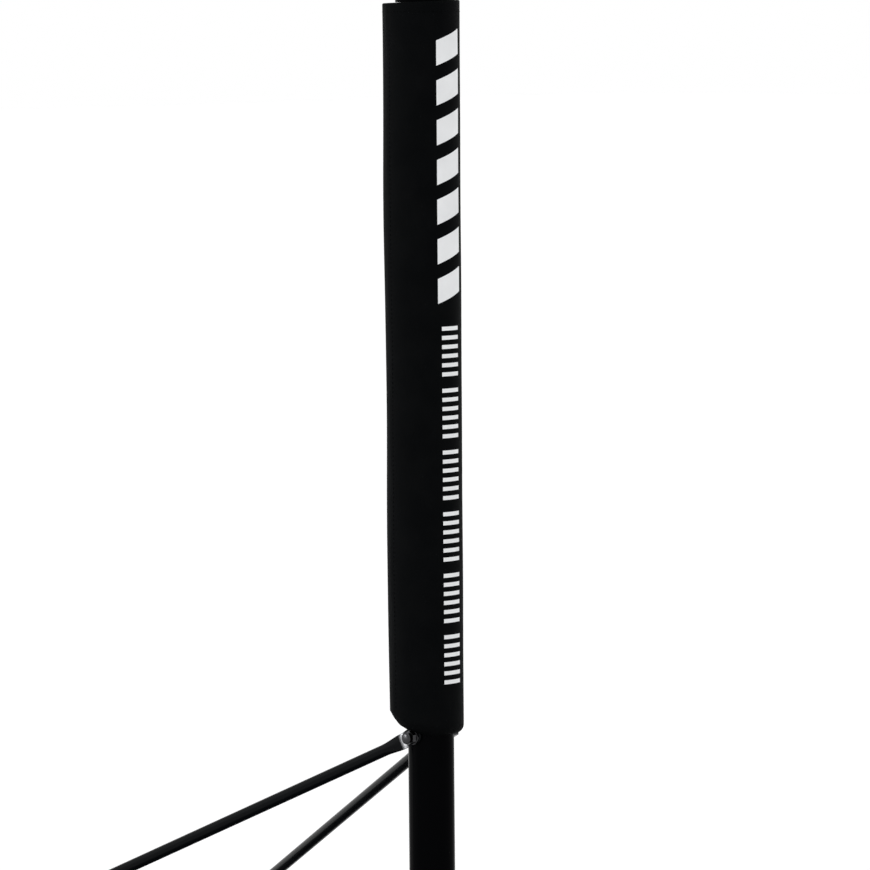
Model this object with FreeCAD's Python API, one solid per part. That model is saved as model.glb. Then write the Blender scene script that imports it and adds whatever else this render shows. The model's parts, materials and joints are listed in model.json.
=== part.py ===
"""A portable volleyball net on two weighted, padded poles, in millimetres.

The origin is on the floor under the middle of the net. X runs along the net and Z is up.
A post is drawn in its own frame, with the pole on the Z axis and the net towards +X,
and the second post is the first one turned half round. The near side is -Y.
"""
import FreeCAD, Part
import math
import os

from FreeCAD import Vector

# A full-size net at the men's height, with the poles standing clear of its ends
NET_LENGTH = 9500.0
NET_END_GAP = 250.0
NET_TOP = 2430.0
NET_HEIGHT = 1000.0
MESH = 100.0
STRING = 3.0
TOP_BAND = 70.0
BOTTOM_BAND = 50.0
SIDE_BAND = 50.0
BAND_THICK = 9.0
CLOTH = 3.0
CABLE_D = 5.0
ROPE_D = 6.0
ROPE_TURN = 12.0
ROPE_BEND = 60.0
ROPE_CLEAR = 0.5
TIE_D = 5.0
ROD_D = 12.0
SLEEVE_WALL = 2.0

# Clearances: seats in one piece of the stand, running fits, and gaps between moving pieces
SEAT = 0.3
RUNNING = 0.08
GAP = 0.5
TOUCH = 0.001

# The telescoping pole
POLE_D = 48.3
POLE_WALL = 2.0
POLE_FOOT = 18.0
POLE_SLOT = 3.0
INNER_D = 40.0
INNER_WALL = 2.0
INNER_FOOT = 680.0
BUSH_LENGTH = 60.0
BUSH_LIP = 4.0

# The foam pad strapped round the pole from the braces to the collar, thicker at the back
PAD_BOTTOM = 446.0
PAD_D = 79.8
PAD_BACK = 6.2
PAD_HEM = 18.0
PAD_HEM_IN = 7.0

# The two braces, bolted through the pole just under the pad and down to the tank
BOLT_Z = 445.0
STRUT_D = 12.0
STRUT_SLOPE = 0.4757
STRUT_SPLAY = 22.5
TAB_THICK = 2.5
TAB_WIDTH = 17.0
TAB_BEND = 15.0
TAB_NECK = 26.0
TUBE_SIDES = 12
STRUT_BOLT_D = 8.0
HEX_AF = 13.0
HEX_HEAD = 5.3
WASHER_D = 16.0
WASHER_THICK = 1.6
FOOT_BOLT_LENGTH = 30.0

# The ballast tank
TANK_FRONT = 250.0
TANK_BEHIND_FOOT = 58.0
TANK_WIDTH = 700.0
TANK_FRONT_WIDTH = 600.0
TANK_HEIGHT = 150.0
TANK_REAR_HEIGHT = 100.0
TANK_STEP_FRONT = -150.0
TANK_STEP_REAR = -300.0
TANK_TAPER_FROM = -40.0
TANK_DRAFT = 16.0
TANK_CORNER = 60.0
TANK_EDGE = 9.0
FOOT_PAD_D = 52.0
FOOT_PAD_Z = 116.0
SOCKET_D = 130.0
SOCKET_TOP_D = 86.0
SOCKET_RISE = 36.0
POCKET_DEPTH = 14.0
POCKET_CORNER = 22.0
POCKET_IN = 90.0
POCKET_OUT = 200.0
POCKET_LENGTH = 210.0
GRIP_LENGTH = 150.0
GRIP_WIDTH = 34.0

# The filler neck and its screw cap
FILLER_X = -560.0
NECK_D = 48.0
NECK_RISE = 16.0
CAP_WALL = 5.0
CAP_RISE = 22.0
CAP_SIDES = 12

# The two transport wheels and their axle, clear of the floor until the stand is tipped
AXLE_D = 12.0
AXLE_X = 205.0
WHEEL_D = 110.0
WHEEL_WIDTH = 36.0
WHEEL_LIFT = 3.0
HUB_D = 34.0
RIM_DEPTH = 13.0
WEB_THICK = 7.0
NOTCH_BACK = 62.0
NOTCH_Y = 218.0
AXLE_CAP_D = 24.0
AXLE_CAP_THICK = 7.0

# The quick-release collar at the top of the lower pole
COLLAR_D = 62.0
COLLAR_HEIGHT = 34.0
COLLAR_LIP = 6.0
EAR_REACH = 15.0
EAR_THICK = 8.0
COLLAR_BOLT_D = 6.0
CAM_D = 17.0
CAM_THROW = 1.0
LEVER_HEIGHT = 16.0
LEVER_SLOT = 6.8
LEVER_THICK = 6.5
LEVER_CLEAR = 2.5
LEVER_SWEEP = 84.0

# The head of the upper pole and the pulley of the net cable
PULLEY_PITCH_R = 32.0
PULLEY_FLANGE = 4.0
PULLEY_WIDTH = 13.0
HEAD_PLUG = 45.0
HEAD_FLANGE = 7.0
FORK_THICK = 4.5
FORK_WIDTH = 34.0
FORK_RISE = 15.0
HEAD_PIN_D = 10.0
THIMBLE_D = 30.0
SLEEVE_LENGTH = 36.0

# The eyebolts that the net is tied to, on the net side of the upper pole
HOOK_OVER_FOOT = 40.0
HOOK_OVER_COLLAR = 224.5
HOOK_UNDER_TOP = 140.0
EYE_R = 9.0
EYE_WIRE_D = 6.0
EYE_NUT_AF = 10.0
EYE_NUT = 5.0
RING_SIDES = 12

# The geared hand winch behind the upper pole
WINCH_OVER_HOOK = 105.0
WINCH_PLATE = 3.5
WINCH_HEIGHT = 130.0
WINCH_SIDE = 35.0
WINCH_DEPTH = 92.0
DRUM_R = 14.0
DRUM_FLANGE_R = 26.0
DRUM_FLANGE = 3.0
SHAFT_D = 12.0
GEAR_MODULE = 2.0
GEAR_TEETH = 40
PINION_TEETH = 12
GEAR_WIDTH = 8.0
BACKLASH = 0.5
PRESSURE_ANGLE = 20.0
PINION_ANGLE = 230.0
CRANK_LENGTH = 115.0
CRANK_THICK = 6.0
CRANK_WIDTH = 20.0
GRIP_D = 28.0
SPINDLE_D = 10.0
KNOB_D = 16.0
KNOB_THICK = 4.0
GRIP_SPAN = 85.0
STRAP_WIDTH = 14.0
STRAP_THICK = 2.5
STRAP_WING = 12.0
STRAP_GAP = 0.3
STRAP_RISE = 44.0
STRAP_BOLT_D = 6.0
STRAP_BOLT_HEAD = 4.0

X = Vector(1, 0, 0)
Y = Vector(0, 1, 0)
Z = Vector(0, 0, 1)
ORIGIN = Vector(0, 0, 0)

# Places that follow from the sizes above
POST_SPACING = NET_LENGTH + 2 * NET_END_GAP
POLE_R = POLE_D / 2
POLE_BORE_R = POLE_R - POLE_WALL
INNER_R = INNER_D / 2
CABLE_Z = NET_TOP - CABLE_D
PULLEY_Z = CABLE_Z - PULLEY_PITCH_R
INNER_TOP = PULLEY_Z - PULLEY_PITCH_R - PULLEY_FLANGE - HEAD_FLANGE - GAP
NET_BOTTOM = NET_TOP - NET_HEIGHT
HOOK_LOW = NET_BOTTOM + HOOK_OVER_FOOT
HOOK_HIGH = NET_TOP - HOOK_UNDER_TOP
HOOK_MIDDLE = (HOOK_LOW + HOOK_HIGH) / 2
ROPE_Z = NET_BOTTOM + ROPE_D + CLOTH
COLLAR_Z = HOOK_LOW - HOOK_OVER_COLLAR - COLLAR_HEIGHT
PAD_LENGTH = COLLAR_Z - GAP - PAD_BOTTOM
WINCH_Z = HOOK_LOW + WINCH_OVER_HOOK
POLE_TOP = COLLAR_Z + COLLAR_HEIGHT - COLLAR_LIP
TAB_Y = POLE_R + SEAT / 2 + TAB_THICK / 2
SPLAY = math.radians(STRUT_SPLAY)
STRUT_LIMIT = FOOT_PAD_Z + SEAT / 2 + TAB_THICK / 2
STRUT_RUN = (BOLT_Z - TAB_BEND * STRUT_SLOPE - STRUT_LIMIT) / STRUT_SLOPE
FOOT_X = -TAB_BEND - (STRUT_RUN + TAB_BEND) * math.cos(SPLAY)
FOOT_Y = TAB_Y + (STRUT_RUN + TAB_BEND) * math.sin(SPLAY)
TANK_BACK = FOOT_X - TANK_BEHIND_FOOT
AXLE_Z = WHEEL_D / 2 + WHEEL_LIFT
WHEEL_Y = NOTCH_Y + GAP + WHEEL_WIDTH / 2
EAR_X = -(COLLAR_D / 2 + EAR_REACH / 2)
EAR_FACE = POLE_SLOT / 2 + EAR_THICK
CAM_Y = EAR_FACE + SEAT + CAM_D / 2 + CAM_THROW
EYE_X = INNER_R + EYE_R + EYE_WIRE_D
COIL_R = DRUM_R + CABLE_D
DRUM_X = -PULLEY_PITCH_R - CABLE_D / 2 - SEAT - COIL_R
GEAR_Y = -(WINCH_SIDE + WINCH_PLATE + GAP + GEAR_WIDTH / 2)
GEAR_R = GEAR_MODULE * GEAR_TEETH / 2
PINION_R = GEAR_MODULE * PINION_TEETH / 2
PINION_X = DRUM_X + (GEAR_R + PINION_R) * math.cos(math.radians(PINION_ANGLE))
PINION_Z = WINCH_Z + (GEAR_R + PINION_R) * math.sin(math.radians(PINION_ANGLE))
CRANK_Y = GEAR_Y - GEAR_WIDTH / 2 - GAP - CRANK_THICK
EYE_TIP = POST_SPACING / 2 - EYE_X - EYE_R - EYE_WIRE_D / 2 - SEAT
THIMBLE_X = THIMBLE_D / 2 - CABLE_D / 2 - HEAD_PIN_D / 2 - SEAT


def box(low, high):
    """A block between two corners."""
    size = Vector(*high) - Vector(*low)
    return Part.makeBox(size.x, size.y, size.z, Vector(*low))


def rod(radius, start, end):
    """A round bar between two points."""
    run = end - start
    return Part.makeCylinder(radius, run.Length, start, run)


def tube(outer, inner, start, end):
    """A round tube between two points."""
    return rod(outer, start, end).cut(rod(inner, start, end))


def prism(sides, radius, base, run):
    """A bar with flat sides, as far across its flats as a round bar of the radius."""
    corner = radius / math.cos(math.pi / sides)
    turns = [(k + 0.5) * 2 * math.pi / sides for k in range(sides + 1)]
    flat = Part.makePolygon([Vector(corner * math.cos(t), corner * math.sin(t), 0) for t in turns])
    solid = Part.Face(flat).extrude(Z * run.Length)
    solid.Placement = FreeCAD.Placement(base, FreeCAD.Rotation(Z, run))
    return solid


def hexagon(across_flats, height, base, axis):
    """A hexagonal head or nut standing on its base point along the axis."""
    return prism(6, across_flats / 2, base, axis * height)


def slab(points, thickness, at, normal):
    """A plate from a closed outline, given in its own plane, with its thickness along the normal."""
    closed = [Vector(*p) for p in points]
    return Part.Face(Part.makePolygon(closed + closed[:1])).extrude(normal * thickness).translated(at)


def ring(radius, wire, centre, axis):
    """A forged ring with flat sides, as thick as its wire is wide."""
    start = centre - axis * wire
    run = axis * wire * 2
    return prism(RING_SIDES, radius + wire, start, run).cut(prism(RING_SIDES, radius - wire, start, run))


def cord(points, radius, bend):
    """A round cord along straight runs joined by tangent arcs, one arc at each inner point."""
    edges = []
    last = points[0]
    for before, corner, after in zip(points, points[1:], points[2:]):
        back = (before - corner).normalize()
        ahead = (after - corner).normalize()
        half = (math.pi - back.getAngle(ahead)) / 2
        reach = bend * math.tan(half)
        start = corner + back * reach
        end = corner + ahead * reach
        middle = corner + (back + ahead).normalize() * (bend / math.cos(half) - bend)
        if (start - last).Length > TOUCH:
            edges.append(Part.LineSegment(last, start).toShape())
        edges.append(Part.Arc(start, middle, end).toShape())
        last = end
    edges.append(Part.LineSegment(last, points[-1]).toShape())
    path = Part.Wire(edges)
    section = Part.Wire(Part.Circle(points[0], points[1] - points[0], radius).toShape())
    return path.makePipeShell([section], True, False)


def fused(shapes):
    """The shapes as one solid with its seams removed."""
    whole = shapes[0].multiFuse(shapes[1:])
    return whole.removeSplitter()


def place(shape, side):
    """A shape of the post frame, standing as the left (-1) or the right (+1) post."""
    moved = shape.copy()
    if side > 0:
        moved.rotate(ORIGIN, Z, 180)
    moved.translate(X * side * POST_SPACING / 2)
    return moved


def rounded_block(low, high, corner):
    """A block with its four upright edges rounded."""
    block = box(low, high)
    upright = [e for e in block.Edges if abs(e.tangentAt(e.FirstParameter).z) > 0.5]
    return block.makeFillet(corner, upright)


def bevelled_block(low, high, corner):
    """A block with its four upright edges bevelled."""
    block = box(low, high)
    upright = [e for e in block.Edges if abs(e.tangentAt(e.FirstParameter).z) > 0.5]
    return block.makeChamfer(corner, upright)


def tank_body():
    """The tank's outer form: a drafted plan with cut corners under a stepped top, all edges bevelled."""
    half = TANK_WIDTH / 2
    front = TANK_FRONT_WIDTH / 2
    plan = Part.Face(Part.makePolygon([Vector(x, y, 0) for x, y in (
        (TANK_BACK, -half), (TANK_TAPER_FROM, -half), (TANK_FRONT, -front), (TANK_FRONT, front),
        (TANK_TAPER_FROM, half), (TANK_BACK, half), (TANK_BACK, -half))])).extrude(Z)
    corners = [e for e in plan.Edges if abs(e.tangentAt(e.FirstParameter).z) > 0.5
               and abs(e.Vertexes[0].X - TANK_TAPER_FROM) > 1]
    foot = [f for f in plan.makeChamfer(TANK_CORNER, corners).Faces if f.BoundBox.ZMax < 0.5][0].OuterWire
    crown = foot.makeOffset2D(-TANK_DRAFT, 2).translated(Z * TANK_HEIGHT)
    body = Part.makeLoft([foot, crown], True, True)
    side = slab([(TANK_BACK - 1, 0, 0), (TANK_FRONT + 1, 0, 0), (TANK_FRONT + 1, 0, TANK_HEIGHT - 10),
                 (TANK_STEP_FRONT, 0, TANK_HEIGHT), (TANK_STEP_REAR, 0, TANK_REAR_HEIGHT + 5),
                 (TANK_BACK - 1, 0, TANK_REAR_HEIGHT)], TANK_WIDTH + 2, Vector(0, -half - 1, 0), Y)
    body = body.common(side).removeSplitter().Solids[0]
    rim = [e for e in body.Edges if min(v.Z for v in e.Vertexes) > TANK_REAR_HEIGHT - 12
           and max(abs(v.X - TANK_STEP_REAR) for v in e.Vertexes) > 1]
    return body.makeChamfer(TANK_EDGE, rim)


def base_tank():
    """The moulded ballast tank, filled, with its pole socket, brace seats, grip and pockets."""
    body = tank_body()
    above = TANK_HEIGHT + SOCKET_RISE + 1
    neck_foot = TANK_REAR_HEIGHT - 6
    well = rod(NECK_D / 2 + CAP_WALL + 8, Vector(FILLER_X, 0, neck_foot), Vector(FILLER_X, 0, above))
    body = body.cut(well)
    socket = Part.makeCone(SOCKET_D / 2, SOCKET_TOP_D / 2, SOCKET_RISE + 40, Vector(0, 0, TANK_HEIGHT - 40))
    neck = rod(NECK_D / 2, Vector(FILLER_X, 0, neck_foot - 10), Vector(FILLER_X, 0, neck_foot + NECK_RISE))
    seats = [rod(FOOT_PAD_D / 2, Vector(FOOT_X, s * FOOT_Y, TANK_REAR_HEIGHT / 2),
                 Vector(FOOT_X, s * FOOT_Y, FOOT_PAD_Z)) for s in (-1, 1)]
    body = fused([body, socket, neck] + seats)
    cuts = [rod(POLE_R + SEAT, Vector(0, 0, POLE_FOOT), Vector(0, 0, above)),
            rod(AXLE_D / 2 + SEAT, Vector(AXLE_X, -NOTCH_Y - 1, AXLE_Z), Vector(AXLE_X, NOTCH_Y + 1, AXLE_Z)),
            rod(NECK_D / 2 - 4, Vector(FILLER_X, 0, neck_foot - 30), Vector(FILLER_X, 0, above)),
            rounded_block((TANK_BACK + 24, -GRIP_LENGTH / 2, -1),
                          (TANK_BACK + 24 + GRIP_WIDTH, GRIP_LENGTH / 2, above), GRIP_WIDTH / 2 - 1)]
    for s in (-1, 1):
        low, high = sorted((s * NOTCH_Y, s * TANK_WIDTH))
        cuts.append(box((AXLE_X - NOTCH_BACK, low, -1), (TANK_FRONT + 1, high, above)))
        cuts.append(rod(STRUT_BOLT_D / 2 + SEAT, Vector(FOOT_X, s * FOOT_Y, FOOT_PAD_Z - FOOT_BOLT_LENGTH),
                        Vector(FOOT_X, s * FOOT_Y, FOOT_PAD_Z + 1)))
        low, high = sorted((s * POCKET_IN, s * POCKET_OUT))
        cuts.append(bevelled_block((TANK_STEP_REAR - POCKET_LENGTH, low, TANK_REAR_HEIGHT - POCKET_DEPTH),
                                   (TANK_STEP_REAR - POCKET_IN / 2, high, above), POCKET_CORNER))
        cuts.append(bevelled_block((TANK_STEP_FRONT + POCKET_IN / 2, low, TANK_HEIGHT - 10 - POCKET_DEPTH),
                                   (AXLE_X - NOTCH_BACK - POCKET_IN / 2, high, above), POCKET_CORNER))
    for cutter in cuts:
        body = body.cut(cutter)
    return body


def filler_cap():
    """The screw cap over the filler neck, a cup with flat sides to grip."""
    foot = Vector(FILLER_X, 0, TANK_REAR_HEIGHT - 6 + SEAT)
    inner = NECK_D / 2 + SEAT
    cup = prism(CAP_SIDES, inner + CAP_WALL, foot, Z * CAP_RISE)
    return cup.cut(rod(inner, foot - Z, foot + Z * (NECK_RISE + SEAT)))


def axle():
    """The steel axle, through the tank and both wheels."""
    end = WHEEL_Y + WHEEL_WIDTH / 2 + GAP + AXLE_CAP_THICK - 2
    return rod(AXLE_D / 2, Vector(AXLE_X, -end, AXLE_Z), Vector(AXLE_X, end, AXLE_Z))


def axle_cap(s):
    """A push-on cap that holds a wheel on the axle."""
    at = Vector(AXLE_X, s * (WHEEL_Y + WHEEL_WIDTH / 2 + GAP), AXLE_Z)
    cap = rod(AXLE_CAP_D / 2, at, at + Y * s * AXLE_CAP_THICK)
    return cap.cut(rod(AXLE_D / 2 + RUNNING, at - Y * s, at + Y * s * (AXLE_CAP_THICK - 2)))


def wheel(s):
    """A one-piece wheel: a hub and a rim joined by a web, open on the outer side."""
    half = WHEEL_WIDTH / 2
    rim = WHEEL_D / 2 - RIM_DEPTH
    bore = AXLE_D / 2 + RUNNING
    web = WEB_THICK - half
    points = [Vector(r, s * y, 0) for r, y in (
        (bore, -half), (WHEEL_D / 2, -half), (WHEEL_D / 2, half), (rim, half), (rim, web),
        (HUB_D / 2, web), (HUB_D / 2, half), (bore, half))]
    solid = Part.Face(Part.makePolygon(points + points[:1])).revolve(ORIGIN, Y, 360)
    return solid.translated(Vector(AXLE_X, s * WHEEL_Y, AXLE_Z))


def outer_pole():
    """The lower pole, drilled for the brace bolt and slit at the top under the collar."""
    pole = tube(POLE_R, POLE_BORE_R, Z * (POLE_FOOT + SEAT), Z * POLE_TOP)
    pole = pole.cut(rod(STRUT_BOLT_D / 2 + SEAT, Vector(0, -POLE_D, BOLT_Z), Vector(0, POLE_D, BOLT_Z)))
    return pole.cut(box((-POLE_D, -POLE_SLOT / 2, COLLAR_Z - 8), (0, POLE_SLOT / 2, POLE_TOP + 1)))


def top_bush():
    """The slit plastic sleeve in the mouth of the lower pole."""
    outer = POLE_BORE_R - SEAT / 2
    inner = INNER_R + RUNNING
    lip = POLE_R - 1
    low = Z * (POLE_TOP - BUSH_LENGTH)
    seat = Z * (POLE_TOP + SEAT / 2)
    sleeve = tube(outer, inner, low, seat + Z * BUSH_LIP)
    sleeve = sleeve.fuse(tube(lip, inner, seat, seat + Z * BUSH_LIP)).removeSplitter()
    return sleeve.cut(box((-POLE_D, -POLE_SLOT / 2, low.z - 1), (0, POLE_SLOT / 2, POLE_TOP + BUSH_LIP + 2)))


def bottom_bush():
    """The sleeve plugged into the foot of the upper pole, which slides in the lower pole."""
    foot = Z * (INNER_FOOT - SEAT / 2)
    plug = tube(INNER_R - INNER_WALL - SEAT / 2, INNER_R - INNER_WALL - 3.5, foot, foot + Z * BUSH_LENGTH / 2)
    shoe = tube(POLE_BORE_R - RUNNING, INNER_R - INNER_WALL - 3.5, foot - Z * BUSH_LENGTH / 2, foot)
    return fused([plug, shoe])


def pole_pad():
    """The foam pad: a round sleeve set back on the pole, its foot drawn in to the pole."""
    foot = PAD_BOTTOM
    hem = Part.makeCone(PAD_D / 2 - PAD_HEM_IN, PAD_D / 2, PAD_HEM, Vector(0, 0, foot))
    body = rod(PAD_D / 2, Z * (foot + PAD_HEM), Z * (foot + PAD_LENGTH))
    pad = hem.fuse(body).removeSplitter().translated(-X * PAD_BACK)
    pad = pad.cut(rod(POLE_R + SEAT, Z * (foot - 1), Z * (foot + PAD_LENGTH + 1)))
    reach = TAB_WIDTH + 2
    return pad.cut(box((-reach, -POLE_D, foot - 1), (reach, POLE_D, BOLT_Z + reach)))


def section(centre, wide, thick, half_width, half_thick):
    """A many-sided section round a centre: oval where the tube is pressed flat, even where it is round."""
    turns = [2 * math.pi * k / TUBE_SIDES for k in range(TUBE_SIDES + 1)]
    return Part.makePolygon([centre + wide * half_width * math.cos(t) + thick * half_thick * math.sin(t)
                             for t in turns])


def strut_lines(s):
    """The bolt centre, the two bends and the foot of a brace, with its three directions."""
    down = Vector(-1, 0, -STRUT_SLOPE).normalize()
    along = Vector(-math.cos(SPLAY), s * math.sin(SPLAY), -STRUT_SLOPE).normalize()
    level = Vector(-math.cos(SPLAY), s * math.sin(SPLAY), 0)
    bolt = Vector(0, s * TAB_Y, BOLT_Z)
    upper = Vector(-TAB_BEND, s * TAB_Y, BOLT_Z - TAB_BEND * STRUT_SLOPE)
    lower = upper + along * ((upper.z - STRUT_LIMIT) / -along.z)
    foot = lower + level * TAB_BEND
    return bolt, upper, lower, foot, down, along, level


def strut(s):
    """A brace: a tube with both ends pressed flat, drilled, and bent to lie on what they are bolted to."""
    bolt, upper, lower, foot, down, along, level = strut_lines(s)
    half = TAB_WIDTH / 2
    thin = TAB_THICK / 2
    tube_r = STRUT_D / 2
    parts = []
    for centre, bend, run, flat, hand in ((bolt, upper, down, Y, 1), (foot, lower, -level, Z, -1)):
        wide = flat.cross(run).normalize()
        disc = rod(half, centre - flat * thin, centre + flat * thin)
        span = bend - centre
        corners = [centre - flat * thin + wide * half, bend - flat * thin + wide * half,
                   bend - flat * thin - wide * half, centre - flat * thin - wide * half]
        plate = Part.Face(Part.makePolygon(corners + corners[:1])).extrude(flat * TAB_THICK)
        heading = along * hand
        neck = bend + heading * TAB_NECK
        across = (wide - heading * wide.dot(heading)).normalize()
        mouth = section(bend - span.normalize() * 0.5, wide, flat, half, thin)
        round_end = section(neck, across, heading.cross(across), tube_r, tube_r)
        parts += [disc, plate, Part.makeLoft([mouth, round_end], True, True)]
    body = rod(tube_r, upper + along * TAB_NECK, lower - along * TAB_NECK)
    whole = fused([body] + parts)
    hole = STRUT_BOLT_D / 2 + SEAT
    whole = whole.cut(rod(hole, bolt - Y * POLE_R, bolt + Y * POLE_R))
    return whole.cut(rod(hole, foot - Z * POLE_R, foot + Z * POLE_R))


def strut_bolt():
    """The long bolt through both braces and the pole, its head on the near side."""
    face = TAB_Y + TAB_THICK / 2 + SEAT / 2
    start = Vector(0, -face, BOLT_Z)
    washer = rod(WASHER_D / 2, start, start - Y * WASHER_THICK)
    head = hexagon(HEX_AF, HEX_HEAD, start - Y * WASHER_THICK, -Y)
    shank = rod(STRUT_BOLT_D / 2, start, Vector(0, face + WASHER_THICK + HEX_HEAD + 4, BOLT_Z))
    return fused([washer, head, shank])


def strut_nut():
    """The nut and washer on the far end of the brace bolt."""
    face = Vector(0, TAB_Y + TAB_THICK / 2 + SEAT / 2, BOLT_Z)
    washer = rod(WASHER_D / 2, face, face + Y * WASHER_THICK)
    nut = hexagon(HEX_AF, HEX_HEAD + 1, face + Y * WASHER_THICK, Y)
    bore = rod(STRUT_BOLT_D / 2 + RUNNING, face - Y, face + Y * 20)
    return fused([washer, nut]).cut(bore)


def foot_bolt(s):
    """A bolt that holds the lower end of a brace on its seat."""
    foot = strut_lines(s)[3]
    face = foot + Z * (TAB_THICK / 2 + SEAT / 2)
    washer = rod(WASHER_D / 2, face, face + Z * WASHER_THICK)
    head = hexagon(HEX_AF, HEX_HEAD, face + Z * WASHER_THICK, Z)
    shank = rod(STRUT_BOLT_D / 2, Vector(foot.x, foot.y, FOOT_PAD_Z - FOOT_BOLT_LENGTH + 2), face)
    return fused([washer, head, shank])


def collar():
    """The split collar that closes the lower pole on the upper one, with two ears for its bolt."""
    top = COLLAR_Z + COLLAR_HEIGHT
    inner = POLE_R + SEAT / 2
    body = rod(COLLAR_D / 2, Z * COLLAR_Z, Z * top)
    ears = box((-(COLLAR_D / 2 + EAR_REACH), -EAR_FACE, COLLAR_Z + 4), (-POLE_R, EAR_FACE, top - 4))
    tips = [e for e in ears.Edges if abs(e.tangentAt(e.FirstParameter).y) > 0.5
            and e.Vertexes[0].X < -COLLAR_D / 2]
    ears = ears.makeChamfer(5, tips)
    body = fused([body, ears])
    body = body.cut(rod(inner, Z * (COLLAR_Z - 1), Z * (top + 1)))
    body = body.cut(box((-POLE_D * 2, -POLE_SLOT / 2, COLLAR_Z - 1), (0, POLE_SLOT / 2, top + 1)))
    middle = COLLAR_Z + COLLAR_HEIGHT / 2
    near = Vector(EAR_X, -EAR_FACE - 1, middle)
    return body.cut(rod(COLLAR_BOLT_D / 2 + SEAT, near, Vector(EAR_X, EAR_FACE + 1, middle)))


def collar_bolt():
    """The collar's bolt: a round head, a flat eye at the cam, and the cross pin that the lever turns on."""
    middle = COLLAR_Z + COLLAR_HEIGHT / 2
    start = Vector(EAR_X, -EAR_FACE - SEAT / 2, middle)
    pivot = Vector(EAR_X, CAM_Y, middle)
    head = rod(COLLAR_BOLT_D, start, start - Y * 4)
    shank = rod(COLLAR_BOLT_D / 2, start, pivot)
    eye = rod(COLLAR_BOLT_D / 2 + 1.5, pivot - Z * (LEVER_SLOT / 2 - SEAT), pivot + Z * (LEVER_SLOT / 2 - SEAT))
    pin = rod(COLLAR_BOLT_D / 2, pivot - Z * (LEVER_HEIGHT / 2 - 1), pivot + Z * (LEVER_HEIGHT / 2 - 1))
    return fused([head, shank, eye, pin])


def clamp_lever():
    """The cam lever, closed against the collar; its slot straddles the bolt's eye."""
    middle = COLLAR_Z + COLLAR_HEIGHT / 2
    low = middle - LEVER_HEIGHT / 2
    pivot = Vector(EAR_X, CAM_Y, middle)
    foot = Vector(EAR_X, CAM_Y - CAM_THROW, low)
    cam = rod(CAM_D / 2, foot, foot + Z * LEVER_HEIGHT)
    inner = COLLAR_D / 2 + LEVER_CLEAR
    band = tube(inner + LEVER_THICK, inner, Z * low, Z * (low + LEVER_HEIGHT))
    start = math.atan2(CAM_Y, EAR_X)
    end = start - math.radians(LEVER_SWEEP)
    far = inner * 3
    wedge = [(0, 0, 0)] + [(far * math.cos(a), far * math.sin(a), 0)
                           for a in (start, (start + end) / 2, end)]
    arm = band.common(slab(wedge, LEVER_HEIGHT, Vector(0, 0, low), Z))
    tip = Vector(math.cos(end), math.sin(end), 0) * (inner + LEVER_THICK / 2 + 1)
    thumb = rod(LEVER_THICK / 2 + 1, Vector(tip.x, tip.y, low), Vector(tip.x, tip.y, low + LEVER_HEIGHT))
    lever = fused([cam, arm, thumb])
    slot = rod(CAM_D / 2 + 4, pivot - Z * LEVER_SLOT / 2, pivot + Z * LEVER_SLOT / 2)
    lever = lever.cut(slot)
    return lever.cut(rod(COLLAR_BOLT_D / 2 + RUNNING, pivot - Z * LEVER_HEIGHT, pivot + Z * LEVER_HEIGHT))


def inner_pole():
    """The upper pole, drilled for the eyebolts."""
    pole = tube(INNER_R, INNER_R - INNER_WALL, Z * INNER_FOOT, Z * INNER_TOP)
    for height in (HOOK_LOW, HOOK_MIDDLE, HOOK_HIGH):
        pole = pole.cut(rod(EYE_WIRE_D / 2 + SEAT, Vector(-INNER_D, 0, height), Vector(INNER_D, 0, height)))
    return pole


def eyebolt(height):
    """An eyebolt through the upper pole, with its eye towards the net and its nut behind."""
    wire = EYE_WIRE_D / 2
    eye = ring(EYE_R, wire, Vector(EYE_X, 0, height), Y)
    shank = rod(wire, Vector(-INNER_R - EYE_NUT - 2, 0, height), Vector(EYE_X - EYE_R, 0, height))
    nut = hexagon(EYE_NUT_AF, EYE_NUT, Vector(-INNER_R - SEAT / 2, 0, height), -X)
    return fused([eye, shank, nut])


def head(pin_z):
    """The pole's head: a plug, a flange and a two-plate fork with a hole for its pin."""
    seat = INNER_TOP + SEAT / 2
    plug = rod(INNER_R - INNER_WALL - SEAT / 2, Z * (INNER_TOP - HEAD_PLUG), Z * seat)
    flange = rod(INNER_R, Z * seat, Z * (seat + HEAD_FLANGE))
    cheeks = []
    inside = PULLEY_WIDTH / 2 + GAP
    for s in (-1, 1):
        low, high = sorted((s * inside, s * (inside + FORK_THICK)))
        plate = box((-FORK_WIDTH / 2, low, seat + HEAD_FLANGE - 3), (FORK_WIDTH / 2, high, pin_z + FORK_RISE))
        tips = [e for e in plate.Edges if abs(e.tangentAt(e.FirstParameter).y) > 0.5
                and e.Vertexes[0].Z > pin_z]
        cheeks.append(plate.makeChamfer(FORK_WIDTH / 4, tips))
    whole = fused([plug, flange] + cheeks)
    return whole.cut(rod(HEAD_PIN_D / 2 + RUNNING, Vector(0, -INNER_D, pin_z), Vector(0, INNER_D, pin_z)))


def head_pin(pin_z):
    """The pin across the fork, with a head at one end and a retaining ring at the other."""
    face = PULLEY_WIDTH / 2 + GAP + FORK_THICK + SEAT / 2
    near = Vector(0, -face, pin_z)
    far = Vector(0, face, pin_z)
    cap = rod(HEAD_PIN_D / 2 + 3, near, near - Y * 3)
    clip = rod(HEAD_PIN_D / 2 + 2, far, far + Y * 1.5)
    return fused([cap, rod(HEAD_PIN_D / 2, near, far + Y * 3), clip])


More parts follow.
